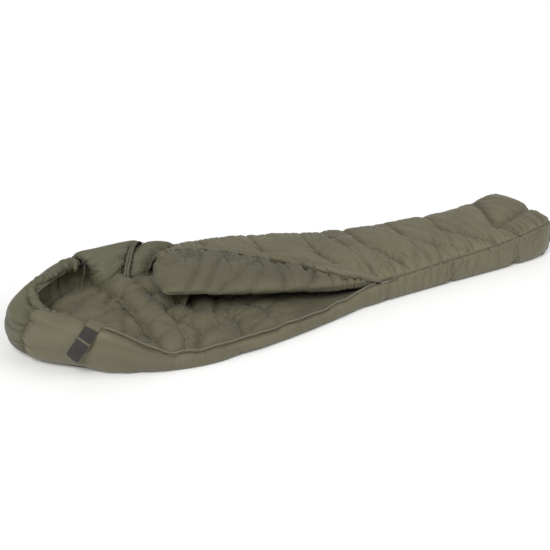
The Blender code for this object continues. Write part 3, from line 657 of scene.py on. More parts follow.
def make_near_panel():
    """The near side, from the hood's crown seam to the foot box, in one piece; returns its last column."""
    half_way = NEAR.run_at(0.1)
    run = np.concatenate([np.linspace(HOOD_SEAM_RUN, half_way, 240)[:-1],
                          np.linspace(half_way, NEAR.run_at(FOOT_SEAM_X), 250)])[:, None]
    x = np.interp(run, NEAR.run, NEAR.x)
    t = np.linspace(0, 1, 52)[None, :]
    top_inset, top_z = near_top(x)
    low_inset = profile(((-1.15, 0.085), (-1.0, 0.075), (-0.85, 0.055), (-0.7, LOW_INSET),
                         (1.2, LOW_INSET)), x)
    inset, z = side_section(t, top_inset, top_z + zip_wave(x, run), low_inset)
    hood_shape = along_curve(CROWN_SECTION, 52)[::-1]
    hooded = np.clip(1 - (run - HOOD_SEAM_RUN) / 0.16, 0, 1) ** 1.5
    inset = inset + (hood_shape[None, :, 0] - inset) * hooded
    z = z + (hood_shape[None, :, 1] - z) * hooded
    base = rim(-run, inset, z)
    n = facing(base, 300, 26, (0, -1, 0))
    arc = run_of(base, 1)
    x = np.broadcast_to(x, arc.shape)
    run = np.broadcast_to(run, arc.shape)
    legs = ramp(x - 0.18, 0.12)
    hood = ramp(-0.75 - x, 0.2)
    seams = seam_distance(x, arc, NEAR_SEAMS)
    from_seam = run - HOOD_SEAM_RUN
    top = fading(arc, 0.045)
    fans = creases((x + 0.4 * arc) / 0.024, arc / 0.1, 21)
    lift = ((0.010 + 0.005 * legs) * (1 - fading(np.minimum(arc, seams), 0.018)) * (0.35 + 0.65 * legs)
            + 0.022 * (fans - 0.3) * top * (0.05 + legs)
            + 0.008 * (creases(x / 0.09 + arc * 5, arc / 0.06, 22) - 0.4) * (0.2 + 0.8 * legs)
            + 0.009 * (creases(x / 0.32, arc / 0.04 + x / 0.3, 23) - 0.4) * ramp(0.1 - x, 0.2)
            - 0.013 * fading(from_seam, 0.009)
            + (0.014 * (creases(arc / 0.018, run / 0.15, 24) - 0.4) * fading(from_seam, 0.04)
               * ramp(from_seam, 0.01))
            + 0.006 * hood * noise(x / 0.12, arc / 0.09, 25))
    hold = np.maximum(sewn(arc.shape), 0.7 * (seams < 0.004))
    start = base + n * (lift * inland(arc, 0.012))[..., None]
    slack_u = 0.03 + 0.06 * legs + 0.35 * legs * top
    slack_v = 0.06 + 0.3 * fading(from_seam, 0.04)
    made = cloth(base, start, hold, slack_u, slack_v, low=-0.012, high=0.018)
    lie_on_floor(made)
    soft_piece("near_panel_shell", made, base, n, SHELL,
               ("near_side_outer_shell", "near_side_insulation", "near_side_lining",
                "hood_near_outer_shell",
                "hood_near_insulation"))
    return made[-1]


near_end = make_near_panel()


FAR_SEAM_XS = (-0.26, -0.06, 0.15, 0.35, 0.53, 0.71, 0.89)


def make_far_panel():
    """The far side, from the hood to the foot box; returns its last column."""
    run = np.linspace(FAR.run_at(-0.47), FAR.run_at(FOOT_SEAM_X), 240)[:, None]
    x = np.interp(run, FAR.run, FAR.x)
    t = np.linspace(0, 1, 34)[None, :]
    inset, z = side_section(t, 0.004, profile(FAR_SEAM, x), LOW_INSET)
    base = rim(run, inset, z)
    n = facing(base, 100, 15, (0, 1, 0))
    arc = run_of(base, 1)
    x = np.broadcast_to(x, arc.shape)
    seams = seam_distance(x, arc, [((s, 0.0), (s + 0.02, 0.2)) for s in FAR_SEAM_XS])
    lift = (0.007 * (1 - fading(np.minimum(arc, seams), 0.028))
            + 0.010 * (creases(x / 0.025, arc / 0.12, 41) - 0.3) * fading(arc, 0.05)
            + 0.006 * (creases(x / 0.05 + arc * 4, arc / 0.06, 42) - 0.4))
    hold = np.maximum(sewn(arc.shape), 0.7 * (seams < 0.004))
    start = base + n * (lift * inland(arc, 0.012))[..., None]
    slack_u = 0.06 + 0.25 * fading(arc, 0.05)
    made = cloth(base, start, hold, slack_u, 0.03, low=-0.006, high=0.016, bend=0.03)
    lie_on_floor(made)
    soft_piece("far_panel_shell", made, base, n, SHELL,
               ("far_side_outer_shell", "far_side_insulation", "far_side_lining"))
    return made[-1]


far_side_end = make_far_panel()


def make_foot_end():
    """The foot box's end panel: a rounded pillow that closes the bag behind its last seam."""
    count, bulge, middle_z = 24, 0.024, 0.1
    floor = np.linspace(far_side_end[-1], near_end[-1], 20)[1:-1]
    ring = np.vstack([top_end, far_side_end[1:], floor, near_end[::-1][:-1]])
    middle = ring.mean(0)
    middle[2] = middle_z
    angle = np.linspace(0, 1, count)[:, None, None] * math.pi / 2
    base = middle + (ring[None] - middle) * (np.cos(angle) * 0.999 + 0.001)
    sine, cosine = np.sin(angle[..., 0]), np.cos(angle[..., 0])
    base[..., 0] = ring[:, 0] * (1 - sine) + (FOOT_SEAM_X + bulge) * sine
    base[..., 2] = middle_z + (ring[:, 2] - middle_z) * cosine ** 0.5
    lie_on_floor(base, 0.001)
    around = np.arctan2(ring[:, 2] - middle_z, ring[:, 1])[None, :]
    folds = creases(around * 6, np.linspace(0, 1.5, count)[:, None], 51) - 0.4
    base[..., 0] += folds * 0.009 * np.sin(angle[..., 0] * 2) * cosine
    piece = sheet_mesh("foot_end_shell", base, SHELL, "bag", np.full(base.shape[:2], 0.4), wrap=True)
    declare(piece, ("foot_box_outer_shell", "foot_box_insulation", "foot_box_lining"))


make_foot_end()


def make_underside():
    """The bag's floor: a flat quilted sheet inside the outline."""
    x = np.linspace(-1.09, FOOT_SEAM_X, 150)[:, None]
    near_y, far_y = NEAR.y_at(x, 0.044), FAR.y_at(x, 0.044)
    y = near_y + (far_y - near_y) * np.linspace(0, 1, 40)[None, :]
    x = np.broadcast_to(x, y.shape)
    z = 0.0012 + 0.004 * np.clip(creases(x / 0.12, y / 0.2, 55), 0, 1)
    z[:, 0] = z[:, -1] = 0.001
    piece = sheet_mesh("underside_shell", np.stack([x, y, z], -1), SHELL, "bag", np.full(y.shape, 0.3))
    declare(piece, ("base_outer_shell",))


make_underside()


# ---- hood ----

FAR_SECTION = ((0.05, 0.001), (0.018, 0.02), (-0.002, 0.07), (0.01, 0.12), (0.04, 0.153), (0.082, 0.162),
               (0.125, 0.146),
               (0.158, 0.112), (0.178, 0.076), (0.186, 0.048), (0.18, 0.04))
LOCK_X = -0.83
SPLIT_X = -0.51
FAR_END_X = -0.365
LOCK_RUN, SPLIT_RUN, FAR_END_RUN = (FAR.run_at(x) for x in (LOCK_X, SPLIT_X, FAR_END_X))
SEAM_LEAN = 0.15  # how far towards the head the seam between the far segments leans on its way in


def roll(name, section, first, last, count, seed, cads, leans=(0.0, 0.0), plump=0.018, ripple=0.012,
         talls=(1.0, 1.0),
         narrow=1.0, reach=0.05):
    """A padded hood segment along the rim: its ends pull in to its seams, which lean towards the head inside.

    talls scales the two ends' height, narrow the first end's width, and reach is how far its pleats run.
    """
    shape = along_curve(section, 88)[None]
    inner = ramp(shape[..., 0] - 0.04, 0.13)
    s = np.linspace(0, 1, count)[:, None]
    run = first - leans[0] * inner + (last - first - (leans[1] - leans[0]) * inner) * s
    tall = talls[0] * (1 - s) + talls[1] * s
    raised = shape[..., 1] * (1 + (tall - 1) * ramp(shape[..., 1] - 0.06, 0.06))
    slim = 1 - (1 - narrow) * np.clip(1 - s / 0.4, 0, 1) ** 1.5
    base = rim(run, shape[..., 0] * slim, raised)
    n = facing(base, count // 2, 27, base[count // 2, 27] - base[count // 2, 75])
    arc = run_of(base, 1)
    length = run_of(base, 0)
    from_end = np.minimum(length, length[-1:] - length)
    tuck = 1 - fading(from_end, 0.026)
    pleats = creases(arc / 0.03, length / 0.2, seed)
    lift = (plump * (tuck - 0.8) + ripple * (pleats - 0.5) * fading(from_end, reach)
            + 0.005 * noise(arc / 0.08, length / 0.11, seed + 1)
            + 0.003 * (creases(arc / 0.09 + length / 0.3, length / 0.12, seed + 2) - 0.4))
    slack_v = 0.03 + 0.35 * fading(from_end, 0.8 * reach)
    start = base + n * (lift * inland(arc, 0.02))[..., None]
    start[0], start[-1] = base[0] - n[0] * plump * 0.6, base[-1] - n[-1] * plump * 0.6
    made = cloth(base, start, sewn(lift.shape), 0.03, slack_v, low=-0.016, high=0.022)
    lie_on_floor(made)
    soft_piece(name, made, base, n, HOOD_SHELL, cads)


roll("hood_crown_roll", CROWN_SECTION, -HOOD_SEAM_RUN, LOCK_RUN, 160, 61,
     ("hood_crown_outer_shell", "hood_crown_insulation"),
     plump=0.012, ripple=0.014, talls=(0.97, 1.0))
roll("hood_far_rear_roll", FAR_SECTION, LOCK_RUN, SPLIT_RUN, 84, 63,
     ("hood_far_rear_outer_shell", "hood_far_rear_insulation"), leans=(-0.02, SEAM_LEAN), plump=0.024,
     talls=(1.2, 1.1),
     narrow=0.62)
roll("hood_far_front_roll", FAR_SECTION, SPLIT_RUN, FAR_END_RUN, 50, 65,
     ("hood_far_front_outer_shell", "hood_far_front_insulation"), leans=(SEAM_LEAN, 0.16), plump=0.026,
     ripple=0.007,
     talls=(1.04, 0.88), reach=0.022)


def make_seam_strip():
    """The doubled, scalloped strip of fabric that stands over the seam between the two far segments."""
    shape = along_curve(FAR_SECTION[4:], 60)
    inner = ramp(shape[:, 0] - 0.04, 0.13)
    across = np.linspace(-0.015, 0.015, 13)[:, None]
    run = SPLIT_RUN - SEAM_LEAN * inner[None, :] + across
    arc = np.linspace(0, 0.3, 60)[None, :]
    ruffle = 0.5 + 0.8 * creases(arc / 0.013, across / 0.012, 67)
    stand = 0.008 + 0.007 * (1 - (across / 0.016) ** 4) * ruffle - 0.006 * np.exp(-(across / 0.0035) ** 2)
    stand = stand - 0.02 * ramp(0.05 - arc, 0.05)
    base = rim(run, shape[None, :, 0], shape[None, :, 1] * 1.05)
    n = facing(base, 6, 20, UP)
    piece = sheet_mesh("hood_seam_strip", base + n * stand[..., None], HOOD_SHELL, "bag")
    declare(piece)


make_seam_strip()


CHANNEL_ROUTE = ((-0.952, -0.168, 0.173), (-0.986, -0.128, 0.176), (-1.008, -0.101, 0.176),
                 (-1.028, -0.062, 0.176),
                 (-1.036, 0.0, 0.178), (-1.034, 0.055, 0.18), (-1.02, 0.11, 0.182), (-0.98, 0.148, 0.184),
                 (-0.94, 0.168, 0.185), (-0.9, 0.198, 0.185), (-0.872, 0.218, 0.184),
                 (-0.822, 0.226, 0.178))


def gathered_channel(name, route, radius, cads, seed, look, count=300, bunch=0.0):
    """A gathered channel with a cord inside: pleats stand across it, bunch thickens its last stretch."""
    line = along_curve(route, count)
    run = run_of(line, 0)
    line = line + np.stack([0.004 * noise(run / 0.03, 5, seed), 0.004 * noise(run / 0.03, 7, seed),
                            0.003 * noise(run / 0.025, 9, seed)], 1)
    gathered = np.clip(1 - (run[-1] - run) / 0.16, 0, 1)
    radii = radius * (0.72 + 0.5 * creases(run / 0.013, 0.3, seed) + 0.12 * noise(run / 0.05, 3, seed + 1)
                      + bunch * gathered)
    sides = 20
    rings = tube_grid(line, radii, sides)
    angle = np.arange(sides)[None, :] * math.tau / sides
    pleat = 0.86 + 0.3 * creases(run[:, None] / 0.009, angle * 0.9, seed + 2)
    rings = line[:, None] + (rings - line[:, None]) * pleat[..., None]
    # painted shade: the pleats' valleys are darkened through the ridge values
    piece = sheet_mesh(name, rings, look, "bag", np.clip(pleat - 0.7, 0, 1), wrap=True)
    declare(piece, cads)


gathered_channel("hood_rim_channel", CHANNEL_ROUTE, 0.0155, ("hood_drawcord_channel", "hood_drawcord"), 71,
                 HOOD_SHELL,
                 bunch=0.5)


def make_hood_lining():
    """The crown's inner face: lining that hangs in folds from the gathered channel to the base."""
    top = along_curve((*CHANNEL_ROUTE, (-0.77, 0.238, 0.16), (-0.7, 0.25, 0.13)), 230)
    middle = np.array((-0.86, 0.0))
    outward = unit(top[:, :2] - middle)
    t = np.linspace(0, 1, 36)[None, :]
    run = run_of(top, 0)[:, None]
    bulge = 0.03 * np.sin(t * math.pi) - 0.02 * t
    folds = (0.014 * (creases(run / 0.045 + t * 0.4, t * 0.8, 75) - 0.4)
             * np.sin(np.clip(t * 1.1, 0, 1) * math.pi) ** 0.6)
    reach = 0.006 + bulge + folds
    z = 0.038 + (top[:, 2:] - 0.046) * (1 - t)
    p = np.concatenate([top[:, None, :2] + outward[:, None] * reach[..., None], z[..., None]], -1)
    # painted shade: the fold valleys are darkened through the ridge values
    piece = sheet_mesh("hood_inner_lining", p, LINING, "bag", ramp(folds, 0.012))
    declare(piece, ("hood_lining",))


make_hood_lining()


# ---- lining ----

TORSO_TUFTS = (
    (-0.53, 0.03), (-0.49, -0.06), (-0.41, -0.03), (-0.46, -0.17), (-0.33, -0.1), (-0.56, -0.22),
    (-0.44, -0.32), (-0.33, 0.08), (-0.45, 0.13), (-0.57, 0.15), (-0.26, -0.19), (-0.31, -0.27),
)
TUFT_POINTS = ((-0.554, -0.291), (-0.351, -0.192), (-0.418, -0.19), (-0.5, -0.12))
COLLAR_TUFTS = ((0.05, 0.05), (0.12, 0.11), (0.17, 0.04), (0.25, 0.1), (0.31, 0.04), (0.38, 0.1),
                (0.45, 0.05), (0.53, 0.1),
                (0.6, 0.05))


def tufts(x, y, points):
    """Cushions around some points: about the distance to the crease between the two nearest points."""
    points = np.array(points)
    x = x + 0.022 * noise(x / 0.08, y / 0.08, 85)
    y = y + 0.022 * noise(x / 0.08, y / 0.08, 86)
    gap = np.sort(np.hypot(x[..., None] - points[:, 0], (y[..., None] - points[:, 1]) * 0.85), -1)
    return gap[..., 1] - gap[..., 0]


def tuft_pulls(x, y, points, seed):
    """Deep points where the quilt is sewn through, with short folds that radiate from them."""
    pulls = np.zeros(np.shape(x))
    for k, (px, py) in enumerate(points):
        far = np.hypot(x - px, y - py)
        rays = creases(np.arctan2(y - py, x - px) / 0.5, far / 0.2, seed + k) - 0.45
        pulls += 0.018 * rays * fading(far, 0.04) * ramp(far, 0.01) - 0.016 * fading(far, 0.012)
    return pulls


BASE_SEAMS = (
    ((-0.36, -0.36), (-0.355, -0.29), (-0.345, -0.22), (-0.38, -0.1)),
    ((-0.25, -0.14), (-0.19, -0.2), (-0.1, -0.29)),
    ((-0.1, -0.15), (-0.02, -0.2)), ((-0.95, -0.03), (-0.86, -0.13), (-0.8, -0.24)),
    ((-0.84, 0.0), (-0.76, -0.04), (-0.7, -0.03)),
)


def make_base_lining():
    """The quilted lining that the sleeper lies on: tufted cushions at the chest, low baffles elsewhere."""
    x = np.linspace(-1.06, 0.34, 300)[:, None]
    top_inset, near_z = near_top(x)
    hood_inset = profile(((-1.1, 0.12), (-1.0, 0.1), (-0.95, 0.074), (-0.9, 0.05), (-0.84, 0.041),
                          (-0.66, 0.036)), x)
    near_y = NEAR.y_at(x, np.where(x < -0.66, hood_inset, top_inset + 0.004))
    far_y = FAR.y_at(x, np.where(x < -0.5, 0.09, 0.12))
    t = np.linspace(0, 1, 150)[None, :]
    y = near_y + (far_y - near_y) * t
    x = np.broadcast_to(x, y.shape)
    from_near = y - near_y
    rise = near_z - ramp(-0.62 - x, 0.1) * 0.004 - 0.003
    climb = fading(from_near, 0.035)
    base = np.stack([x, y, 0.043 + (np.maximum(rise, 0.043) - 0.043) * climb], -1)
    seams = seam_distance(x, y, BASE_SEAMS)
    puffed = ramp(-0.31 - x + 0.3 * (y + 0.1), 0.07) * ramp(x + 0.6, 0.05)
    cells = tufts(x, y, TORSO_TUFTS)
    soft = 1 - np.clip((x + 0.2) / 0.25, 0, 0.75)
    lift = (puffed * (0.044 * (1 - fading(cells, 0.04)) - 0.008) + tuft_pulls(x, y, TUFT_POINTS, 87)
            + (1 - puffed) * soft * (0.016 * (1 - fading(seams, 0.03)) - 0.003 - 0.005 * fading(seams,
                                                                                                0.005))
            + 0.022 * soft * (1 - 0.6 * puffed) * (0.55 + 0.45 * ramp(-0.6 - x, 0.1))
            * (creases(x / 0.12 + y / 0.3, y / 0.08 - x / 0.25, 82) - 0.4)
            + 0.004 * soft * noise(x / 0.08, y / 0.06, 81))
    lift = lift * ramp(from_near, 0.03)
    hold = np.maximum(sewn(y.shape), 0.6 * (seams < 0.004) * (1 - puffed))
    start = base + UP * lift[..., None]
    slack = 0.03 + 0.07 * puffed + 0.08 * soft
    made = cloth(base, start, hold, slack, slack, low=-0.010, high=0.046, push=0.00008, bend=0.04,
                 steps=45)
    soft_piece("base_quilt_lining", made, base, UP, LINING,
               ("base_lining", "base_insulation"),
               height=0.034)


make_base_lining()


# ---- flap ----

def fold_place(a, c, up):
    """A point at a distance along the fold, across it and above it."""
    a, c, up = np.broadcast_arrays(a, c, up)
    return FOLD_POINT + FOLD_ALONG * a[..., None] + FOLD_FAR * c[..., None] + FOLD_UP * up[..., None]


def fold_blend(piece):
    """Bakes a piece's placement into its mesh."""
    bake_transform(piece)


# (share of the way from the fold to the zip edge, distance along the fold at which the flap ends)
FLAP_END = ((-0.25, 0.835), (0.0, 0.85), (0.15, 0.86), (0.35, 0.86), (0.55, 0.84), (0.75, 0.81),
            (0.9, 0.785), (1.0, 0.76))
# how far the fold bulges over the opening, and how high the flap puffs, along the fold
NOSE = ((0.0, 0.012), (0.1, 0.03), (0.2, 0.046), (0.4, 0.05), (0.6, 0.046), (0.8, 0.036))
PUFF = ((0.0, 0.004), (0.1, 0.014), (0.2, 0.026), (0.35, 0.04), (0.55, 0.046), (0.8, 0.044))


def flap_frame(s, share):
    """Along, nose reach, seam position and puff height of the flap at a share of its length."""
    edge = profile(FLAP_EDGE, s * FLAP_LENGTH)
    a = 0.006 + s * (profile(FLAP_END, share) - 0.006)
    return a, profile(NOSE, s * FLAP_LENGTH), edge, profile(PUFF, s * FLAP_LENGTH)


def zip_coil(name, line, radius, body, *cads):
    coil = sheet_mesh(name, tube_grid(line, radius, 8), NYLON, body, wrap=True)
    declare(coil, cads=cads)


FLAP_SEAMS = (((0.625, 0.03), (0.6, 0.1), (0.53, 0.2), (0.45, 0.28)), ((0.25, 0.04), (0.26, 0.11)))
HEM_ROWS, HEM_DEPTH = 6, 0.05


def make_flap_lining():
    """The flap's lining side, which lies uppermost: it curls at the fold."""
    s = np.linspace(0.0, 1, 220)[:, None]
    t = np.linspace(0, 1, 140)[None, :]
    # the section runs from inside the cavity round the nose and over the top to the zip edge
    angle = math.radians(-85) + (math.radians(248) * t ** 0.93)
    level = -np.cos(angle)
    share = np.where(angle < 0, -0.25, ramp(level + 1, 2) * 1.25 - 0.25)
    a, nose, edge, puff = flap_frame(s, share)
    round_end = np.sqrt(1 - ramp(s - 0.9, 0.1) ** 2)
    half = (edge + nose) / 2
    c = (edge - nose) / 2 + half * np.sign(level) * np.abs(level) ** 0.8
    rise = np.sin(angle)
    inside = ramp(s - 0.66, 0.16)
    c = np.where(rise < 0, (c + nose) * (1 - inside) - nose, c)
    up = np.where(rise > 0, 0.004 + puff * np.abs(rise) ** 0.75,
                  0.004 - 0.026 * np.abs(rise) * (1 - inside))
    up = np.maximum(up, -0.022 + 0.032 * inside)
    up = np.where(level > 0.2, np.maximum(up, 0.016 * np.minimum(1, s * 5) + 0.004), up)
    up = 0.012 + (up - 0.012) * round_end
    base = fold_place(a, c, up)
    n = facing(base, 110, 90, UP)
    arc = run_of(base, 1)
    from_edge = arc[:, -1:] - arc
    a = np.broadcast_to(a, arc.shape)
    seams = seam_distance(a, arc - 0.05, FLAP_SEAMS)
    gathers = creases(a / 0.03 + from_edge * 1.2, from_edge / 0.25, 91)
    drags = creases(a / 0.075 - from_edge * 4, from_edge / 0.4, 92)
    at_end = fading(a.max() - a, 0.08)
    end_folds = creases(arc / 0.04, a / 0.25, 93) * at_end
    lift = (0.010 * (1 - fading(np.minimum(seams, from_edge), 0.026)) - 0.005
            + 0.020 * (gathers - 0.35) * fading(from_edge, 0.08)
            + 0.013 * (drags - 0.35) * ramp(a - 0.08, 0.1) + 0.010 * (end_folds - 0.3)
            - 0.006 * fading(seams, 0.005)
            + 0.004 * noise(a / 0.09, arc / 0.07, 94))
    fade = inland(arc, 0.012) * ramp(a, 0.06) * np.where(rise < 0, 0.3, 1)
    start = base + n * (lift * fade)[..., None]
    hold = np.maximum(sewn(arc.shape), 0.75 * (seams < 0.004))
    slack_u = 0.06 + 0.45 * fading(from_edge, 0.08) + 0.1 * at_end
    slack_v = 0.04 + 0.3 * at_end
    made = cloth(base, start, hold, slack_u, slack_v, low=-0.012, high=0.02, push=0.00004, steps=45)
    # the head end is turned in, so that no raw edge shows
    hem_share = np.linspace(0.15, 1, HEM_ROWS)[:, None, None]
    hem = -hem_share * (HEM_DEPTH * FOLD_ALONG + 0.001 * FOLD_UP) * np.clip((angle - 0.2) / 0.5, 0.1,
                                                                            1)[..., None]
    made = np.concatenate([made, made[-1:] + hem])
    base = np.concatenate([base, base[-1:] + hem])
    n = np.concatenate([n, np.repeat(n[-1:], HEM_ROWS, axis=0)])
    piece = soft_piece("flap_quilt_lining", made, base, n, LINING,
                       ("flap_lining", "flap_insulation"), body=None)
    fold_blend(piece)


make_flap_lining()


FLAP_SHELL_SEAMS = (
    ((0.2, 0.0), (0.23, 0.08)), ((0.42, 0.0), (0.4, 0.1), (0.36, 0.22)),
    ((0.63, 0.0), (0.6, 0.12), (0.53, 0.28)),
)


def make_flap_shell():
    """The flap's outer fabric: it lies face down on the top panel and dives at the fold under its edge."""
    s = np.linspace(0.0, 1, 150)[:, None]
    t = np.linspace(0, 1, 64)[None, :]
    diving, share = t < 0.15, ramp(t - 0.15, 0.85)
    a, _, edge, _ = flap_frame(s * 0.975, share)
    c = np.where(diving, 0.02 - 0.03 * (t / 0.15), -0.01 + (edge + 0.008) * share)
    arch = 0.011 * np.sin(share * math.pi) ** 0.6 * np.clip(s * 6, 0, 1)
    up = np.where(diving, 0.006 - 0.02 * (1 - t / 0.15), 0.006 + 0.009 * ramp(share, 0.08) + arch)
    across = share * edge
    seams = seam_distance(a + 0 * t, across, FLAP_SHELL_SEAMS)
    from_hem = np.minimum(across, edge - across)
    gathers = creases(a / 0.028, across / 0.12 + 0.3, 95)
    quilting = (1 - fading(np.minimum(seams, from_hem), 0.02)) * (0.55 + 0.45 * gathers)
    base = fold_place(a, c, up - arch * 0.9 * quilting)
    # painted shade: the sunken seams and hems are darkened through the ridge values
    shell = sheet_mesh("flap_shell", base, SHELL, None, 0.1 + 0.5 * quilting)
    declare(shell, ("flap_outer_shell",))
    fold_blend(shell)


make_flap_shell()


TUBE_SWELL = ((0.0, 0.006), (0.04, 0.015), (0.1, 0.021), (0.17, 0.026), (0.25, 0.029), (0.35, 0.027),
              (0.5, 0.018),
              (0.7, 0.012), (1.0, 0.007))


def make_draft_tube():
    """A padded tube behind the flap's zip edge, which covers the zip from inside when the bag is closed."""
    s = np.linspace(0.0, 1, 220)
    along = -0.004 + 0.8 * s
    swell = profile(TUBE_SWELL, s)
    edge = profile(FLAP_EDGE, np.clip(along, 0, 0.8))
    across = edge + 0.002 + swell * 0.75 - 0.018 * np.exp(-(np.clip(along, 0, 1) / 0.1) ** 2)
    rise = 0.006 + 0.016 * ramp(s, 0.1) + swell * 0.45
    route = fold_place(along, across, rise)
    sides = 30
    rings = tube_grid(route, swell, sides, squash=0.85)
    run = run_of(route, 0)[:, None]
    angle = np.arange(sides)[None, :] * math.tau / sides
    swirl = creases(angle * 1.4 + run * 6, run / 0.3, 99) - 0.4
    dents = (0.86 + 0.22 * creases(run / 0.05 + angle * 0.5, angle * 0.8, 97)
             + 0.1 * (creases(run / 0.022, angle, 98) - 0.5) + 0.5 * fading(run, 0.09) * swirl)
    rings = route[:, None] + (rings - route[:, None]) * dents[..., None]
    tube = sheet_mesh("draft_tube_shell", rings, SHELL, "flap", np.full(dents.shape, 0.4), wrap=True)
    declare(tube, ("draft_tube", "flap_loop_patch"))
    line = fold_place(along, edge + 0.001, rise + 0.004 * np.sin(run[:, 0] / 0.011))
    zip_coil("flap_zip_coil", line, 0.0022, "flap", "upper_zip_coil", "upper_zip_tape")


make_draft_tube()


# ---- draft collar ----

COLLAR_ROUTE = (
    (-0.642, -0.35, 0.03), (-0.636, -0.33, 0.05), (-0.626, -0.26, 0.062), (-0.624, -0.15, 0.066),
    (-0.627, -0.02, 0.067), (-0.642, 0.1, 0.068), (-0.665, 0.19, 0.068), (-0.688, 0.235, 0.064),
)


def make_collar():
    """The draft collar: a tufted roll across the opening, with its gathered channel on the head side."""
    route = along_curve(COLLAR_ROUTE, 150)
    run = run_of(route, 0)[:, None]
    angle = np.linspace(-0.12 * math.pi, 1.18 * math.pi, 52)[None, :]
    half = 0.045 * (0.82 + 0.3 * ramp(run, 0.2) ** 0.5)
    tall = 0.032 * np.clip(run / 0.05 + 0.4, 0, 1)
    across = unit(np.cross(np.gradient(route, axis=0), UP))
    base = (route[:, None] + across[:, None] * (np.cos(angle) * half)[..., None]
            + UP * (np.sin(angle) * tall)[..., None])
    n = facing(base, 75, 26, UP)
    arc = run_of(base, 1)
    head = arc if base[75, 0, 0] < base[75, -1, 0] else arc[:, -1:] - arc
    puffs = tufts(run + 0 * arc, arc, COLLAR_TUFTS)
    lift = (0.016 * (1 - fading(puffs, 0.03)) - 0.005
            + 0.017 * (creases(run / 0.03 + head * 2, head / 0.2, 101) - 0.4) * fading(head, 0.07)
            + 0.004 * noise(run / 0.05, arc / 0.05, 102))
    slack = 0.08 + 0.3 * fading(head, 0.07)
    made = cloth(base, base + n * lift[..., None], sewn(arc.shape), slack, 0.08, low=-0.008, high=0.018,
                 push=0.0001, bend=0.03, steps=50)
    lie_on_floor(made, 0.042)
    soft_piece("draft_collar_quilt", made, base, n, LINING,
               ("draft_collar_shell", "draft_collar_insulation"))
    side = across * np.sign(across[75] @ np.array((-1, 0, 0)))
    edge = route + side * (half[:, 0] + 0.006)[:, None]
    edge[:, 2] = 0.058 + 0.012 * np.sin(np.linspace(0, 1, 150) * math.pi)
    gathered_channel("collar_gathered_channel", edge[14::12], 0.0095,
                     ("collar_drawcord_channel", "collar_drawcord"), 111,
                     LINING, 260)


make_collar()


# ---- zips ----

TAPE_WIDTH, TAPE_THICKNESS = 0.011, 0.0012


def zip_tape(name, line, direction, cad):
    """A thin tape along a line, standing along a direction."""
    direction = np.broadcast_to(direction, line.shape)
    face = unit(np.cross(unit(np.gradient(line, axis=0)), direction))
    corners = [(0, -0.5), (1, -0.5), (1, 0.5), (0, 0.5)]
    rings = np.stack([line + direction * TAPE_WIDTH * w + face * TAPE_THICKNESS * f for w, f in corners], 1)
    declare(sheet_mesh(name, rings, TAPE, "bag", wrap=True), cads=(cad,))


def make_open_zip():
    """The near half of the open zip, which stands on the near panel's edge and waves with it."""
    xs = np.linspace(-0.875, 0.24, 420)
    run = NEAR.run_at(xs)
    inset, z = near_top(xs)
    line = rim(-run, inset - 0.002, z + zip_wave(xs, run, 0.2))
    lean = unit(rim(-run, inset + 0.01, z) - rim(-run, inset, z))
    up = lean * -0.25 + UP * 0.97
    zip_tape("open_zip_tape", line, up, "lower_zip_tape")
    zip_coil("open_zip_coil", line + up * 0.0125, 0.0024, "bag", "lower_zip_coil")


make_open_zip()


def make_closed_zip():
    """The closed stretch of zip, sunk between the top panel and the side panel."""
    xs = np.linspace(SLIDER_X, ZIP_END_X, 200)
    line = rim(-NEAR.run_at(xs), 0.0055, profile(NEAR_SEAM, xs) - 0.001)
    zip_tape("closed_zip_seam_tape", line - UP * 0.006, UP, "closed_zip_tape")
    zip_coil("closed_zip_seam_coil", line + np.array((0, -0.0035, 0)), 0.0017, "bag", "closed_zip_coil")


make_closed_zip()


# ---- closure tab ----

TAB_ROUTE = ((-0.868, -0.24, 0.182), (-0.884, -0.258, 0.189), (-0.9, -0.274, 0.186),
             (-0.916, -0.285, 0.174),
             (-0.934, -0.293, 0.158), (-0.95, -0.295, 0.14), (-0.968, -0.291, 0.115),
             (-0.986, -0.281, 0.084))
TAB_HALF = 0.0275
TAB_LINE = along_curve(TAB_ROUTE, 60)


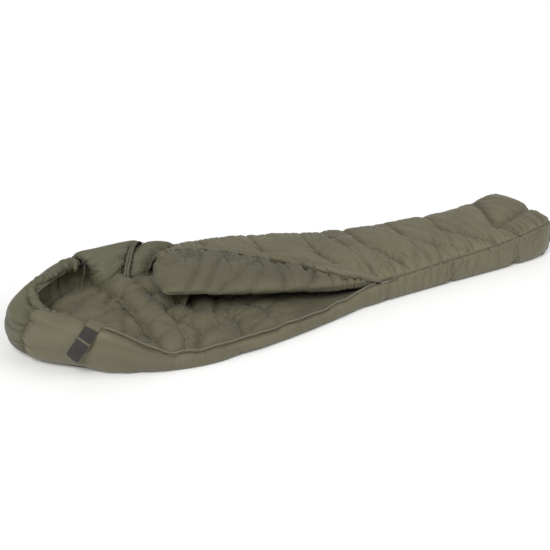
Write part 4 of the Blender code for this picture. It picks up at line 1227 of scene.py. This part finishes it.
def tab_strip(name, first, last, half, out, thick, look):
    """A stretch of the tab: a thin bowed plate that follows the tab's line between two shares of it."""
    at = np.linspace(first, last, 26)
    line = np.stack([np.interp(at, np.linspace(0, 1, len(TAB_LINE)), TAB_LINE[:, k]) for k in range(3)], 1)
    ahead = unit(np.gradient(line, axis=0))
    turn = ramp(at, 0.3)[:, None]
    wide = np.array((0.6, -0.74, -0.12)) * (1 - turn) + np.array((0.62, -0.62, -0.47)) * turn
    wide = unit(wide - ahead * (wide * ahead).sum(1, keepdims=True))
    face = np.cross(wide, ahead)
    face *= np.sign(face @ np.array((-0.5, -0.8, 0.3)))[:, None]
    side = np.linspace(-1, 1, 13)
    bow = 0.004 * side ** 2
    flare = 1 + 0.35 * np.clip(1 - at / 0.16, 0, 1)[:, None]
    front = (line[:, None] + wide[:, None] * (side * half)[None, :, None] * flare[..., None]
             + face[:, None] * (out + thick - bow)[None, :, None])
    rear = front[:, ::-1] - face[:, None] * thick
    rings = np.concatenate([front, rear], 1)
    first_cap, last_cap = (np.broadcast_to(end.mean(1, keepdims=True), end.shape)
                           for end in (rings[:1], rings[-1:]))
    closed = np.concatenate([first_cap, rings, last_cap])
    return sheet_mesh(name, closed, look, None, np.full(closed.shape[:2], 0.4), wrap=True)


def make_tab():
    """The closure tab over the zip's head end: a strap that bends at its root, with two patches of pile."""
    strap = tab_strip("tab_strap", 0.0, 1.0, TAB_HALF, 0.0, 0.0014, SHELL)
    declare(strap, cads=("closure_tab",))
    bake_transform(strap)
    for name, first, last, cad in (("tab_hook_patch", 0.29, 0.545, "tab_upper_patch"),
                                   ("tab_loop_patch", 0.585, 0.99, "tab_lower_patch")):
        patch = tab_strip(name, first, last, TAB_HALF - 0.0012, 0.0016, 0.0018, PILE)
        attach(patch, "tab")
        declare(patch, cads=(cad,))


make_tab()


# ---- CAD pieces that show as they are, with better materials ----

CAD_LOOKS = {
    "zip_bottom_stop": METAL, "zip_slider": METAL, "slider_pull": METAL, "pull_tape": BRAID,
    "near_foot_loop": TAPE, "far_foot_loop": TAPE,
}
for place in ("hood", "collar"):
    CAD_LOOKS |= {f"{place}_cord_lock_body": PLASTIC, f"{place}_cord_lock_plunger": PLASTIC,
                  f"{place}_cord_lock_spring": STEEL}
for name, look in CAD_LOOKS.items():
    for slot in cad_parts[name].material_slots:
        slot.material = look
